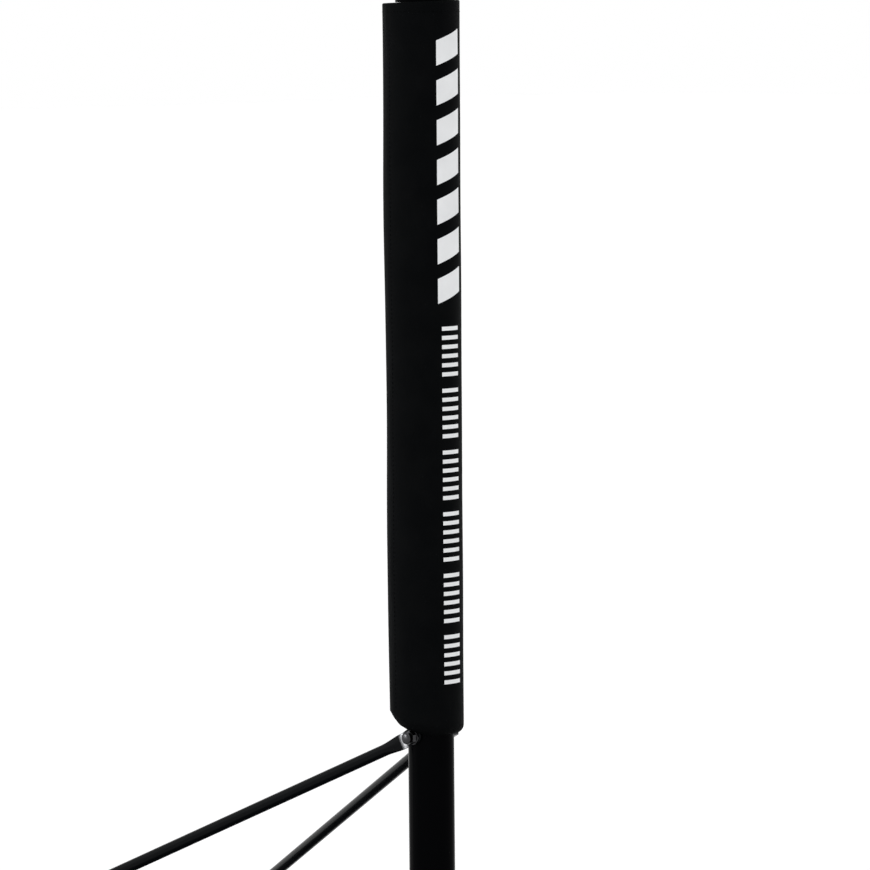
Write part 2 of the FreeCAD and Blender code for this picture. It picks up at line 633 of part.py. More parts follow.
def pulley():
    """The grooved sheave that turns the net cable down behind the pole."""
    half = PULLEY_WIDTH / 2
    groove = PULLEY_PITCH_R - CABLE_D / 2 - SEAT
    rim = PULLEY_PITCH_R + PULLEY_FLANGE
    bore = HEAD_PIN_D / 2 + RUNNING
    cheek = CABLE_D / 2 + SEAT
    points = [Vector(r, y, 0) for r, y in ((bore, -half), (rim, -half), (rim, -cheek), (groove, -cheek),
                                           (groove, cheek), (rim, cheek), (rim, half), (bore, half))]
    profile = Part.Face(Part.makePolygon(points + points[:1]))
    return profile.revolve(ORIGIN, Y, 360).translated(Z * PULLEY_Z)


def thimble():
    """The wire loop at the cable's far end, with its crimped sleeve, round the pin of the other head."""
    wire = CABLE_D / 2
    centre = Vector(THIMBLE_X, 0, CABLE_Z)
    loop = ring(THIMBLE_D / 2, wire, centre, Y)
    start = centre + X * THIMBLE_D / 2
    sleeve = rod(wire * 2, start, start + X * SLEEVE_LENGTH)
    bore = rod(wire + SEAT / 2, start + X * (wire + SEAT / 2), start + X * (SLEEVE_LENGTH + 1))
    return fused([loop, sleeve]).cut(bore)


def winch_frame():
    """The winch's bent steel frame: a back plate on the pole and two side plates for the shafts."""
    back_x = -INNER_R - SEAT / 2
    low = WINCH_Z - WINCH_HEIGHT / 2
    high = WINCH_Z + WINCH_HEIGHT / 2
    outer = WINCH_SIDE + WINCH_PLATE
    back = box((back_x - WINCH_PLATE, -outer, low), (back_x, outer, high))
    parts = [back]
    for s in (-1, 1):
        outline = [(back_x, 0, low), (back_x, 0, high), (DRUM_X - 14, 0, high),
                   (back_x - WINCH_DEPTH, 0, PINION_Z + 16), (back_x - WINCH_DEPTH, 0, low + 6),
                   (back_x - WINCH_DEPTH + 6, 0, low)]
        base = WINCH_SIDE if s > 0 else -outer
        parts.append(slab(outline, WINCH_PLATE, Vector(0, base, 0), Y))
    frame = fused(parts)
    bore = SHAFT_D / 2 + RUNNING
    for x, z in ((DRUM_X, WINCH_Z), (PINION_X, PINION_Z)):
        frame = frame.cut(rod(bore, Vector(x, -outer - 1, z), Vector(x, outer + 1, z)))
    bolt_y = INNER_R + SEAT / 2 + STRAP_THICK + STRAP_WING / 2
    for z in (WINCH_Z - STRAP_RISE, WINCH_Z + STRAP_RISE):
        for y in (-bolt_y, bolt_y):
            frame = frame.cut(rod(STRAP_BOLT_D / 2 + SEAT, Vector(back_x - 10, y, z), Vector(back_x + 1, y, z)))
    return frame


def winch_strap(z):
    """A pressed strap round the front of the upper pole, with flanges that meet the winch's back plate."""
    inner = INNER_R + SEAT / 2
    outer = inner + STRAP_THICK
    low = z - STRAP_WIDTH / 2
    face = STRAP_GAP - inner
    wing = outer + STRAP_WING
    bow = tube(outer, inner, Z * low, Z * (low + STRAP_WIDTH))
    bow = bow.cut(box((-outer * 2, -outer * 2, low - 1), (0, outer * 2, low + STRAP_WIDTH + 1)))
    sides = [bow]
    for s in (-1, 1):
        a, b = sorted((s * inner, s * outer))
        sides.append(box((face, a, low), (0, b, low + STRAP_WIDTH)))
        a, b = sorted((s * inner, s * wing))
        sides.append(box((face, a, low), (face + STRAP_THICK, b, low + STRAP_WIDTH)))
    strap = fused(sides)
    bolt_y = (outer + wing) / 2
    for s in (-1, 1):
        strap = strap.cut(rod(STRAP_BOLT_D / 2 + SEAT, Vector(face - 1, s * bolt_y, z),
                              Vector(face + STRAP_THICK + 1, s * bolt_y, z)))
    return strap


def strap_bolt(z, s):
    """A bolt and nut that hold one flange of a strap to the winch's back plate."""
    inner = INNER_R + SEAT / 2
    y = s * (inner + STRAP_THICK + STRAP_WING / 2)
    front = Vector(STRAP_GAP - inner + STRAP_THICK + SEAT / 2, y, z)
    back = Vector(-inner - WINCH_PLATE - SEAT / 2, y, z)
    head_hex = hexagon(EYE_NUT_AF, STRAP_BOLT_HEAD, front, X)
    nut = hexagon(EYE_NUT_AF, EYE_NUT, back, -X)
    return fused([head_hex, rod(STRAP_BOLT_D / 2, back - X * (EYE_NUT + 1.5), front), nut])


def gear_outline(teeth, phase, centre_y):
    """A toothed outline in the XZ plane: straight roots, involute flanks from a formula, narrow tips."""
    pitch = GEAR_MODULE * teeth / 2
    base = pitch * math.cos(math.radians(PRESSURE_ANGLE))
    tip = pitch + GEAR_MODULE * 0.9
    root = pitch - GEAR_MODULE * 1.25
    inv = math.tan(math.radians(PRESSURE_ANGLE)) - math.radians(PRESSURE_ANGLE)
    half_tooth = math.pi / (2 * teeth) - BACKLASH / (2 * pitch)
    start = max(base, root + 0.2)
    radii = [start + (tip - start) * k / 2 for k in range(3)]

    def flank(radius):
        roll = math.acos(base / radius)
        return half_tooth + inv - (math.tan(roll) - roll)

    points = []
    for k in range(teeth):
        middle = phase + 2 * math.pi * k / teeth
        rising = [(root, middle - flank(start))] + [(r, middle - flank(r)) for r in radii]
        falling = [(r, middle + flank(r)) for r in reversed(radii)] + [(root, middle + flank(start))]
        points += [Vector(r * math.cos(a), centre_y, r * math.sin(a)) for r, a in rising + falling]
    return points


def gear(teeth, phase, x, z):
    """A spur gear lying on the near side of the winch frame."""
    points = gear_outline(teeth, phase, GEAR_Y - GEAR_WIDTH / 2)
    blank = Part.Face(Part.makePolygon(points + points[:1])).extrude(Y * GEAR_WIDTH)
    return blank.translated(Vector(x, 0, z))


def winch_gear():
    """The large gear, keyed on the drum's shaft."""
    toward = math.radians(PINION_ANGLE)
    blank = gear(GEAR_TEETH, toward, DRUM_X, WINCH_Z)
    middle = Vector(DRUM_X, GEAR_Y, WINCH_Z)
    return blank.cut(rod(SHAFT_D / 2 + RUNNING, middle - Y * GEAR_WIDTH, middle + Y * GEAR_WIDTH))


def winch_drum():
    """The drum with its two flanges and the shaft through both side plates."""
    end = WINCH_SIDE + WINCH_PLATE + 5
    near = GEAR_Y - GEAR_WIDTH / 2 - GAP / 2
    shaft = rod(SHAFT_D / 2, Vector(DRUM_X, near, WINCH_Z), Vector(DRUM_X, end, WINCH_Z))
    cheek_y = CABLE_D * 2.2
    barrel = rod(DRUM_R, Vector(DRUM_X, -cheek_y, WINCH_Z), Vector(DRUM_X, cheek_y, WINCH_Z))
    cheeks = []
    for s in (-1, 1):
        at = Vector(DRUM_X, s * cheek_y, WINCH_Z)
        disc = rod(DRUM_FLANGE_R, at, at + Y * s * DRUM_FLANGE)
        cheeks.append(disc)
    return fused([shaft, barrel] + cheeks)


def cable_coil():
    """The turns of cable wound on the drum between its flanges."""
    half = CABLE_D * 2.2 - SEAT
    return tube(COIL_R, DRUM_R + SEAT / 2, Vector(DRUM_X, -half, WINCH_Z), Vector(DRUM_X, half, WINCH_Z))


def winch_pinion():
    """The small gear and its shaft, with a square-shouldered end for the crank."""
    toward = math.radians(PINION_ANGLE) + math.pi + math.pi / PINION_TEETH
    teeth = gear(PINION_TEETH, toward, PINION_X, PINION_Z)
    end = WINCH_SIDE + WINCH_PLATE + 5
    shaft = rod(SHAFT_D / 2, Vector(PINION_X, CRANK_Y - 4, PINION_Z), Vector(PINION_X, end, PINION_Z))
    return fused([teeth, shaft])


def winch_crank():
    """The crank: a tapering flat arm hanging down from its boss, with the spindle of the grip."""
    low = PINION_Z - CRANK_LENGTH
    boss = Vector(PINION_X, CRANK_Y, PINION_Z)
    tip = Vector(PINION_X, CRANK_Y, low)
    disc = rod(CRANK_WIDTH / 2 + 3, boss, boss + Y * CRANK_THICK)
    eye = rod(CRANK_WIDTH / 2 - 1, tip, tip + Y * CRANK_THICK)
    wide = CRANK_WIDTH / 2 + 2
    slim = CRANK_WIDTH / 2 - 2
    arm = slab([(PINION_X - wide, 0, PINION_Z), (PINION_X + wide, 0, PINION_Z), (PINION_X + slim, 0, low),
                (PINION_X - slim, 0, low)], CRANK_THICK, Vector(0, CRANK_Y, 0), Y)
    end = tip - Y * (GRIP_SPAN + KNOB_THICK + 1)
    spindle = rod(SPINDLE_D / 2, end, tip + Y)
    knob = rod(KNOB_D / 2, end, end + Y * KNOB_THICK)
    whole = fused([disc, arm, eye, spindle, knob])
    return whole.cut(rod(SHAFT_D / 2 + RUNNING, boss - Y, boss + Y * (CRANK_THICK + 1)))


def crank_grip():
    """The round grip that spins on the crank's spindle."""
    low = PINION_Z - CRANK_LENGTH
    start = CRANK_Y - GAP
    end = CRANK_Y - GRIP_SPAN - 1 + GAP
    return tube(GRIP_D / 2, SPINDLE_D / 2 + RUNNING, Vector(PINION_X, end, low), Vector(PINION_X, start, low))


def spread(low, high, pitch):
    """Inner positions that divide a span into equal steps near a pitch."""
    steps = max(1, round((high - low) / pitch))
    return [low + (high - low) * k / steps for k in range(1, steps)]


def net_strings():
    """The mesh: upright strings on one side of the net's plane and level strings on the other."""
    end = NET_LENGTH / 2 - SIDE_BAND
    low = NET_BOTTOM + BOTTOM_BAND
    high = NET_TOP - TOP_BAND
    upright = [box((x - STRING / 2, 0, low), (x + STRING / 2, STRING, high)) for x in spread(-end, end, MESH)]
    level = [box((-end, -STRING, z - STRING / 2), (end, 0, z + STRING / 2)) for z in spread(low, high, MESH)]
    return Part.Compound(upright), Part.Compound(level)


def net_band(low, high, bore_z, bore_d):
    """A long band of folded cloth with a channel for the cable or rope along one edge."""
    half = NET_LENGTH / 2
    band = box((-half, -BAND_THICK / 2, low), (half, BAND_THICK / 2, high))
    long_edges = [e for e in band.Edges if abs(e.tangentAt(e.FirstParameter).x) > 0.5]
    band = band.makeFillet(CLOTH * 0.6, long_edges)
    return band.cut(rod(bore_d / 2 + SEAT, Vector(-half - 1, 0, bore_z), Vector(half + 1, 0, bore_z)))


def side_sleeve(s):
    """An end band of the net, with the sleeve of its rod."""
    low = NET_BOTTOM + BOTTOM_BAND
    high = NET_TOP - TOP_BAND
    radius = ROD_D / 2 + SEAT + SLEEVE_WALL
    axis = NET_LENGTH / 2 - radius
    near, far = sorted((s * (NET_LENGTH / 2 - SIDE_BAND), s * axis))
    band = box((near, -CLOTH / 2, low), (far, CLOTH / 2, high))
    whole = fused([band, rod(radius, Vector(s * axis, 0, low), Vector(s * axis, 0, high))])
    return whole.cut(rod(ROD_D / 2 + SEAT, Vector(s * axis, 0, low - 1), Vector(s * axis, 0, high + 1)))


def side_rod(s):
    """The stiff rod inside an end sleeve."""
    axis = s * (NET_LENGTH / 2 - ROD_D / 2 - SEAT - SLEEVE_WALL)
    low = NET_BOTTOM + BOTTOM_BAND + 2
    high = NET_TOP - TOP_BAND - 2
    return rod(ROD_D / 2, Vector(axis, 0, low), Vector(axis, 0, high))


def net_tie(s, height):
    """The straight run of a cord from the end sleeve to an eyebolt."""
    start = Vector(s * (NET_LENGTH / 2 + SEAT), 0, height)
    return rod(TIE_D / 2, start, Vector(s * EYE_TIP, 0, height))


def bottom_rope():
    """The rope in the bottom band, carried up to the lowest eyebolts at both ends."""
    turn = NET_LENGTH / 2 + ROPE_TURN
    tip = EYE_TIP - ROPE_CLEAR
    route = [Vector(-tip, 0, HOOK_LOW), Vector(-turn, 0, ROPE_Z), Vector(turn, 0, ROPE_Z),
             Vector(tip, 0, HOOK_LOW)]
    return cord(route, ROPE_D / 2, ROPE_BEND)


def top_cable():
    """The steel cable: from the far thimble through the top band, over the pulley and down to the drum."""
    wire = CABLE_D / 2
    left = -POST_SPACING / 2
    start = Vector(POST_SPACING / 2 - THIMBLE_X - THIMBLE_D / 2 - wire - SEAT, 0, CABLE_Z)
    corner = Vector(left - PULLEY_PITCH_R, 0, CABLE_Z)
    end = Vector(left - PULLEY_PITCH_R, 0, WINCH_Z)
    return cord([start, corner, end], wire, PULLEY_PITCH_R)


def build():
    """Every node of the model by name."""
    nodes = {}
    both = (("left", -1), ("right", 1))
    for name, side in both:
        nodes[name + "_base_tank"] = place(base_tank(), side)
        nodes[name + "_filler_cap"] = place(filler_cap(), side)
        nodes[name + "_axle"] = place(axle(), side)
        nodes[name + "_outer_pole"] = place(outer_pole(), side)
        nodes[name + "_top_bush"] = place(top_bush(), side)
        nodes[name + "_bottom_bush"] = place(bottom_bush(), side)
        nodes[name + "_pole_pad"] = place(pole_pad(), side)
        nodes[name + "_clamp_collar"] = place(collar(), side)
        nodes[name + "_clamp_lever"] = place(clamp_lever(), side)
        nodes[name + "_inner_pole"] = place(inner_pole(), side)
        for hand, s in (("near", side), ("far", -side)):
            nodes[name + "_" + hand + "_wheel"] = place(wheel(s), side)
            nodes[name + "_" + hand + "_strut"] = place(strut(s), side)
        eyes = [place(eyebolt(h), side) for h in (HOOK_LOW, HOOK_MIDDLE, HOOK_HIGH)]
        nodes[name + "_eyebolts"] = Part.Compound(eyes)
    nodes["strut_bolts"] = Part.Compound([place(strut_bolt(), side) for _, side in both])
    nodes["strut_nuts"] = Part.Compound([place(strut_nut(), side) for _, side in both])
    nodes["strut_foot_bolts"] = Part.Compound([place(foot_bolt(s), side) for _, side in both for s in (-1, 1)])
    nodes["axle_caps"] = Part.Compound([place(axle_cap(s), side) for _, side in both for s in (-1, 1)])
    nodes["clamp_bolts"] = Part.Compound([place(collar_bolt(), side) for _, side in both])
    nodes["left_head"] = place(head(PULLEY_Z), -1)
    nodes["left_head_pin"] = place(head_pin(PULLEY_Z), -1)
    nodes["right_head"] = place(head(CABLE_Z), 1)
    nodes["right_head_pin"] = place(head_pin(CABLE_Z), 1)
    nodes["head_pulley"] = place(pulley(), -1)
    nodes["cable_thimble"] = place(thimble(), 1)
    nodes["winch_frame"] = place(winch_frame(), -1)
    heights = (WINCH_Z - STRAP_RISE, WINCH_Z + STRAP_RISE)
    nodes["winch_straps"] = Part.Compound([place(winch_strap(z), -1) for z in heights])
    nodes["winch_strap_bolts"] = Part.Compound([place(strap_bolt(z, s), -1) for z in heights for s in (-1, 1)])
    nodes["winch_drum"] = place(winch_drum(), -1)
    nodes["winch_gear"] = place(winch_gear(), -1)
    nodes["winch_pinion"] = place(winch_pinion(), -1)
    nodes["winch_crank"] = place(winch_crank(), -1)
    nodes["crank_grip"] = place(crank_grip(), -1)
    nodes["cable_coil"] = place(cable_coil(), -1)
    nodes["net_upright_strings"], nodes["net_level_strings"] = net_strings()
    nodes["net_top_band"] = net_band(NET_TOP - TOP_BAND, NET_TOP, CABLE_Z, CABLE_D)
    nodes["net_bottom_band"] = net_band(NET_BOTTOM, NET_BOTTOM + BOTTOM_BAND, ROPE_Z, ROPE_D)
    nodes["net_side_bands"] = Part.Compound([side_sleeve(s) for s in (-1, 1)])
    nodes["net_side_rods"] = Part.Compound([side_rod(s) for s in (-1, 1)])
    nodes["net_ties"] = Part.Compound([net_tie(s, h) for s in (-1, 1) for h in (HOOK_MIDDLE, HOOK_HIGH)])
    nodes["bottom_rope"] = bottom_rope()
    nodes["top_cable"] = top_cable()
    return nodes


os.makedirs("parts", exist_ok=True)
for node, shape in build().items():
    shape.exportStep("parts/" + node + ".step")
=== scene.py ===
"""Looks of a portable volleyball net on two padded poles, in metres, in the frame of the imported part."""
import json
import math
import random

import bpy
from mathutils import Matrix, Vector

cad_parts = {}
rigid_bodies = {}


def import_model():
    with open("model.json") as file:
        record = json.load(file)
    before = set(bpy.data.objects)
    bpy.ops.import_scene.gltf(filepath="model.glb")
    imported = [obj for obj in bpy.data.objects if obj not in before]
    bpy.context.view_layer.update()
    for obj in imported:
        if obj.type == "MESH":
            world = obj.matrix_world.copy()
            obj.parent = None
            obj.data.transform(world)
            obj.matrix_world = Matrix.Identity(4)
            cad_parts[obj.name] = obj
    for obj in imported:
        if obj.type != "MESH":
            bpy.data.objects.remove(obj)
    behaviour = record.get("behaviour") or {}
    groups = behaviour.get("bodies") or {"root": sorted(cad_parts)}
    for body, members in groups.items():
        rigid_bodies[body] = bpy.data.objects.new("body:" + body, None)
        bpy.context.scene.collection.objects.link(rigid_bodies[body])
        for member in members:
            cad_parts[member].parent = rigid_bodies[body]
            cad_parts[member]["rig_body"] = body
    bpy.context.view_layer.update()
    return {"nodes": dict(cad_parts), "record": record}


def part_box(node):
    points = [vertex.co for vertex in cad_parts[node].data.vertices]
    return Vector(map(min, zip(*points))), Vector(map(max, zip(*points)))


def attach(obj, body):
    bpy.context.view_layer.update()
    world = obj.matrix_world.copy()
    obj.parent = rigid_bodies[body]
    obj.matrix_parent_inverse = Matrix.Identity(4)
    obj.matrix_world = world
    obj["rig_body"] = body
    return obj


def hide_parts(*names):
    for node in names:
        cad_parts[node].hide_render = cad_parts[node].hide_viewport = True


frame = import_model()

random.seed(7)
UP = Vector((0, 0, 1))

# What counts as one point where the mesh of a thin piece closes at its tip
TIP_GAP = 0.0000001

# Where the camera stands: its distance from the left pole's axis, its turn from the net's
# direction towards the near side, and its height. Then its lens and how far it is turned
CAMERA_AWAY = 4.799
CAMERA_TURN = math.radians(45.79)
CAMERA_HEIGHT = 1.2052
CAMERA_LENS = 190.8
CAMERA_PITCH = math.radians(-5.29)
CAMERA_YAW = math.radians(-0.08)
CAMERA_ROLL = math.radians(-0.48)

# The white surroundings, as bright as they light the object and as bright as they look, two
# broad suns and a small lamp low beside the left post
SURROUND_LIGHT = 0.7
SURROUND_SEEN = 1.0
SUNS = (("light_near", (-1.0, -6.0, 6.5), 0.9), ("light_far", (1.0, 5.5, 6.0), 0.5))
SUN_ANGLE = math.radians(60)
LAMP_PLACE = Vector((-8.5, -3.6, 0.45))
LAMP_TARGET = Vector((-5.0, 0, 0.5))
LAMP_SIZE = (0.6, 0.5)
LAMP_POWER = 30
FLOOR_SIZE = 90
FLOOR_SHADE = 0.9
FLOOR_GLOW = 0.118

# The pad's cover, measured at the pad: it is lapped and closed on the near side, and it bulges
# and is drawn in most at its back
PAD_TOP_R = 0.0404
PAD_FOOT_R = 0.0391
PAD_BACK = 0.0063
PAD_BORE_R = 0.0244
PAD_SIDES = 180
PAD_ROWS = 130
PAD_TOP_CLEAR = 0.0003
PAD_FOOT_CLEAR = 0.0005
PAD_EDGE = 0.002
PAD_EDGE_FLAT = 0.8
PAD_RIM_RISE = 0.003
PAD_RIM_SINK = 0.003
BULGE = 0.0006
BULGE_Z = 0.984
BULGE_LENGTH = 0.36
RIPPLE = 0.00015
LAP = 0.0009
LAP_EDGE = math.radians(-109)
LAP_EASE = math.radians(28)
LAP_CURL = 0.0004
LAP_CURL_TURN = 0.12
LAP_SHORT = 0.0001
DRAWN_SIDE = math.radians(224)

# The pad's hem: its height, how far it turns in and how high its foot sits, with what is added
# on the side where it is drawn most
HEM_HEIGHT = 0.009
HEM_HEIGHT_DRAWN = 0.0065
HEM_IN = 0.008
HEM_IN_DRAWN = 0.005
HEM_RISE = 0.0084

# The pad's stitches: a row beside the lap and a row round the crown
STITCH = 0.0032
STITCH_STEP = STITCH * 1.5
STITCH_HALF = 0.00035
STITCH_RISE = 0.00022
STITCH_ROUND = 0.00025
LAP_SEAM_TURN = 0.13
LAP_SEAM_FOOT = 0.03
LAP_SEAM_SHORT = 0.05
CROWN_STITCHES = 52
CROWN_SEAM_DOWN = 0.009

# The white marks on the pad's net side: a column of bold slanting bars over groups of fine ones
MARK_RISE = 0.00025
MARK_THICK = 0.0002
BOLD_BARS = 7
BOLD_TOP = 1.152
BOLD_STEP = 0.041
BOLD_TALL = 0.026
BOLD_SLANT = 0.012
BOLD_HALF = math.radians(23)
FINE_GROUPS = 6
FINE_BARS = 6
FINE_TOP = 0.872
FINE_GROUP_STEP = 0.0645
FINE_STEP = 0.0095
FINE_TALL = 0.0042
FINE_HALF = math.radians(17)

# The braces: their pressed ends, lifted a little by the long bolt, the bends over which bright bare
# metal is painted in as a highlight, and the round tube between
TAB_HALF = 0.0085
TAB_WIDEST = 0.0096
TAB_LEAST = 0.0002
TAB_LIFT = 0.002
TAB_LIFT_REACH = 0.05
TAB_THIN = 0.00125
TAB_BEND = 0.015
TAB_NECK = 0.026
TAB_STEPS = 24
BEND_BEFORE = 0.007
BEND_LENGTH = 0.012
PRESS_EASE = 0.001
HIGHLIGHT_BEFORE = 0.0006
HIGHLIGHT_REACH = 0.0032
BRACE_R = 0.0063
BRACE_SIDES = 32

# The knotted twine of the net
MESH = 0.1
TWINE_R = 0.0014
TWINE_SAG = 0.0008
KNOT_R = 0.0042
KNOT_SLACK = 0.0022
KNOT_LOBES = 0.16
KNOT_WAIST = 0.1
KNOT_FLAT = 0.75

# The folded bands of the net and their stitches
CLOTH_THICK = 0.0012
LAYER_GAP = 0.0001
CHANNEL_EASE = 0.0004
CHANNEL_FROM = math.radians(-22)
CHANNEL_ROUND = math.radians(112)
BAND_CLEAR = 0.0002
BAND_DRAWN = 0.985
BAND_STITCH = (0.0026, 0.0005, 0.0007)
BAND_STITCH_STEP = 0.008
BAND_STITCH_RISE = 0.0003
BAND_SEAM_END = 0.02
BAND_SEAM_IN = 0.006

# The rods and cords of the net, and the cable's far end with its pressed sleeve
ROD_R = 0.006
CABLE_R = 0.0025
THIMBLE_R = 0.015
SLEEVE_R = 0.005
SLEEVE_STEPS = 48
ROPE_R = 0.003
TIE_R = 0.0025
HITCH_EASE = 0.0006
HITCH_BACK = 0.004

# The eyebolts, and the domed heads of the long bolts
EYE_R = 0.009
EYE_WIRE_R = 0.003
EYE_NUT_AF = 0.01
EYE_NUT = 0.005
EYE_NUT_IN = 0.002
CROWN_R = 0.0062
CROWN_RISE = 0.0011

# How far the edges of the rigid pieces are rounded, and the nodes that are made anew instead
EDGE_R = 0.0004
EDGES = {"tank": 0.003, "wheel": 0.0015, "cap": 0.0008, "grip": 0.0012, "collar": 0.0018}
MADE_ANEW = ("pole_pad", "near_strut", "far_strut", "strings", "band", "net_ties", "bottom_rope",
             "cable_coil", "eyebolts", "thimble")

SLOTS = {part["node"]: part["material_slot"] for part in frame["record"]["subparts"]}


def middle(node):
    """The middle of a node's box."""
    low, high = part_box(node)
    return (low + high) / 2


def deselect():
    """Leaves nothing selected."""
    bpy.ops.object.select_all(action="DESELECT")


def take(piece):
    """Makes a piece the only one selected, and the active one."""
    deselect()
    piece.select_set(True)
    bpy.context.view_layer.objects.active = piece


def named(name):
    """Names the piece that an operator has just added, and its mesh."""
    piece = bpy.context.active_object
    piece.name = name
    piece.data.name = name
    return piece


def settle(piece):
    """Moves a piece's place into its mesh, so that its object sits at the origin."""
    take(piece)
    bpy.ops.object.transform_apply(location=True, rotation=True, scale=True)
    return piece


def weld(piece, gap=0.00001):
    """Merges what lies together and turns the faces outwards."""
    take(piece)
    bpy.ops.object.mode_set(mode="EDIT")
    bpy.ops.mesh.select_all(action="SELECT")
    bpy.ops.mesh.remove_doubles(threshold=gap)
    bpy.ops.mesh.normals_make_consistent(inside=False)
    bpy.ops.object.mode_set(mode="OBJECT")
    return piece


def smooth(piece, degrees=35):
    """Shades a piece smooth, apart from its sharp edges."""
    take(piece)
    bpy.ops.object.shade_smooth_by_angle(angle=math.radians(degrees))
    return piece


def modified(piece, kind, **settings):
    """Adds a modifier with its settings to a piece and applies it."""
    take(piece)
    modifier = piece.modifiers.new(kind, kind)
    for name, value in settings.items():
        setattr(modifier, name, value)
    bpy.ops.object.modifier_apply(modifier=modifier.name)
    return piece


def bevel(piece, width):
    """Rounds the sharp edges of a piece."""
    return modified(piece, "BEVEL", width=width, segments=2, limit_method="ANGLE",
                    angle_limit=math.radians(40))


def even_shading(piece):
    """Lets each large flat face keep its own direction, so that only the rounded edges shade."""
    return modified(piece, "WEIGHTED_NORMAL", keep_sharp=True)


def join(pieces, name):
    """Several pieces as one."""
    deselect()
    for piece in pieces:
        piece.select_set(True)
    bpy.context.view_layer.objects.active = pieces[0]
    bpy.ops.object.join()
    return named(name)


def wrapped(name, around, along, place, size=(1, 1)):
    """A tube or a sheet made from a flat grid.

    Place gives the point for a share of the width and a share of the length. The size is the
    sheet's own width and length in metres, which its texture coordinates are laid out by.
    """
    bpy.ops.mesh.primitive_grid_add(x_subdivisions=around, y_subdivisions=along, size=1)
    piece = named(name)
    layer = piece.data.uv_layers.active or piece.data.uv_layers.new()
    shares = [(vertex.co.x + 0.5, vertex.co.y + 0.5) for vertex in piece.data.vertices]
    for vertex, (across, run) in zip(piece.data.vertices, shares):
        vertex.co = place(across, run)
    for loop in piece.data.loops:
        across, run = shares[loop.vertex_index]
        layer.data[loop.index].uv = (across * size[0], run * size[1])
    return piece


def thicken(piece, thickness, offset=0.0):
    """Gives a sheet its thickness."""
    return modified(piece, "SOLIDIFY", thickness=thickness, offset=offset)


def repeat(piece, count, step):
    """A row of copies of a piece, each a step on from the last."""
    return modified(piece, "ARRAY", count=count, use_relative_offset=False, use_constant_offset=True,
                    constant_offset_displace=step)


def tube_along(name, points, radius, sides=12):
    """A round cord through a list of points, closed at both ends."""
    ahead = []
    for k, point in enumerate(points):
        before = points[max(0, k - 1)]
        after = points[min(len(points) - 1, k + 1)]
        ahead.append((after - before).normalized())
    wide = ahead[0].orthogonal().normalized()
    frames = []
    for direction in ahead:
        wide = (wide - direction * wide.dot(direction)).normalized()
        frames.append((wide, direction.cross(wide)))
    rings = [(points[0], 0.0)] + [(point, radius) for point in points] + [(points[-1], 0.0)]
    frames = [frames[0]] + frames + [frames[-1]]

    def place(turn, run):
        row = round(run * (len(rings) - 1))
        centre, size = rings[row]
        across, up = frames[row]
        angle = 2 * math.pi * turn
        return centre + (across * math.cos(angle) + up * math.sin(angle)) * size

    length = sum((b - a).length for a, b in zip(points, points[1:]))
    return weld(wrapped(name, sides, len(rings) - 1, place, (2 * math.pi * radius, length)), TIP_GAP)


def loop_of_cord(name, centre, radius, cord_r, axis, segments=32):
    """A closed ring of cord about an axis."""
    turned = UP.rotation_difference(axis).to_euler()
    bpy.ops.mesh.primitive_torus_add(major_segments=segments, minor_segments=12, major_radius=radius,
                                     minor_radius=cord_r, location=centre, rotation=turned)
    return settle(named(name))


def finished(node, width):
    """A copy of a CAD node with merged faces, rounded edges and smooth shading, which stands for it."""
    piece = bpy.data.objects.new(node + "_finished", frame["nodes"][node].data.copy())
    bpy.context.scene.collection.objects.link(piece)
    take(piece)
    bpy.ops.object.mode_set(mode="EDIT")
    bpy.ops.mesh.select_all(action="SELECT")
    bpy.ops.mesh.customdata_custom_splitnormals_clear()
    bpy.ops.mesh.remove_doubles(threshold=0.000002)
    bpy.ops.mesh.dissolve_limited(angle_limit=math.radians(0.4))
    bpy.ops.object.mode_set(mode="OBJECT")
    if width:
        bevel(piece, width)
    even_shading(smooth(piece))
    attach(piece, frame["nodes"][node]["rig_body"])
    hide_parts(node)
    return piece


def node_input(tree, kind, settings=(), **inputs):
    """A new shader node, with its settings and its unlinked inputs."""
    node = tree.nodes.new(kind)
    for name, value in settings:
        setattr(node, name, value)
    for name, value in inputs.items():
        node.inputs[name.replace("_", " ")].default_value = value
    return node


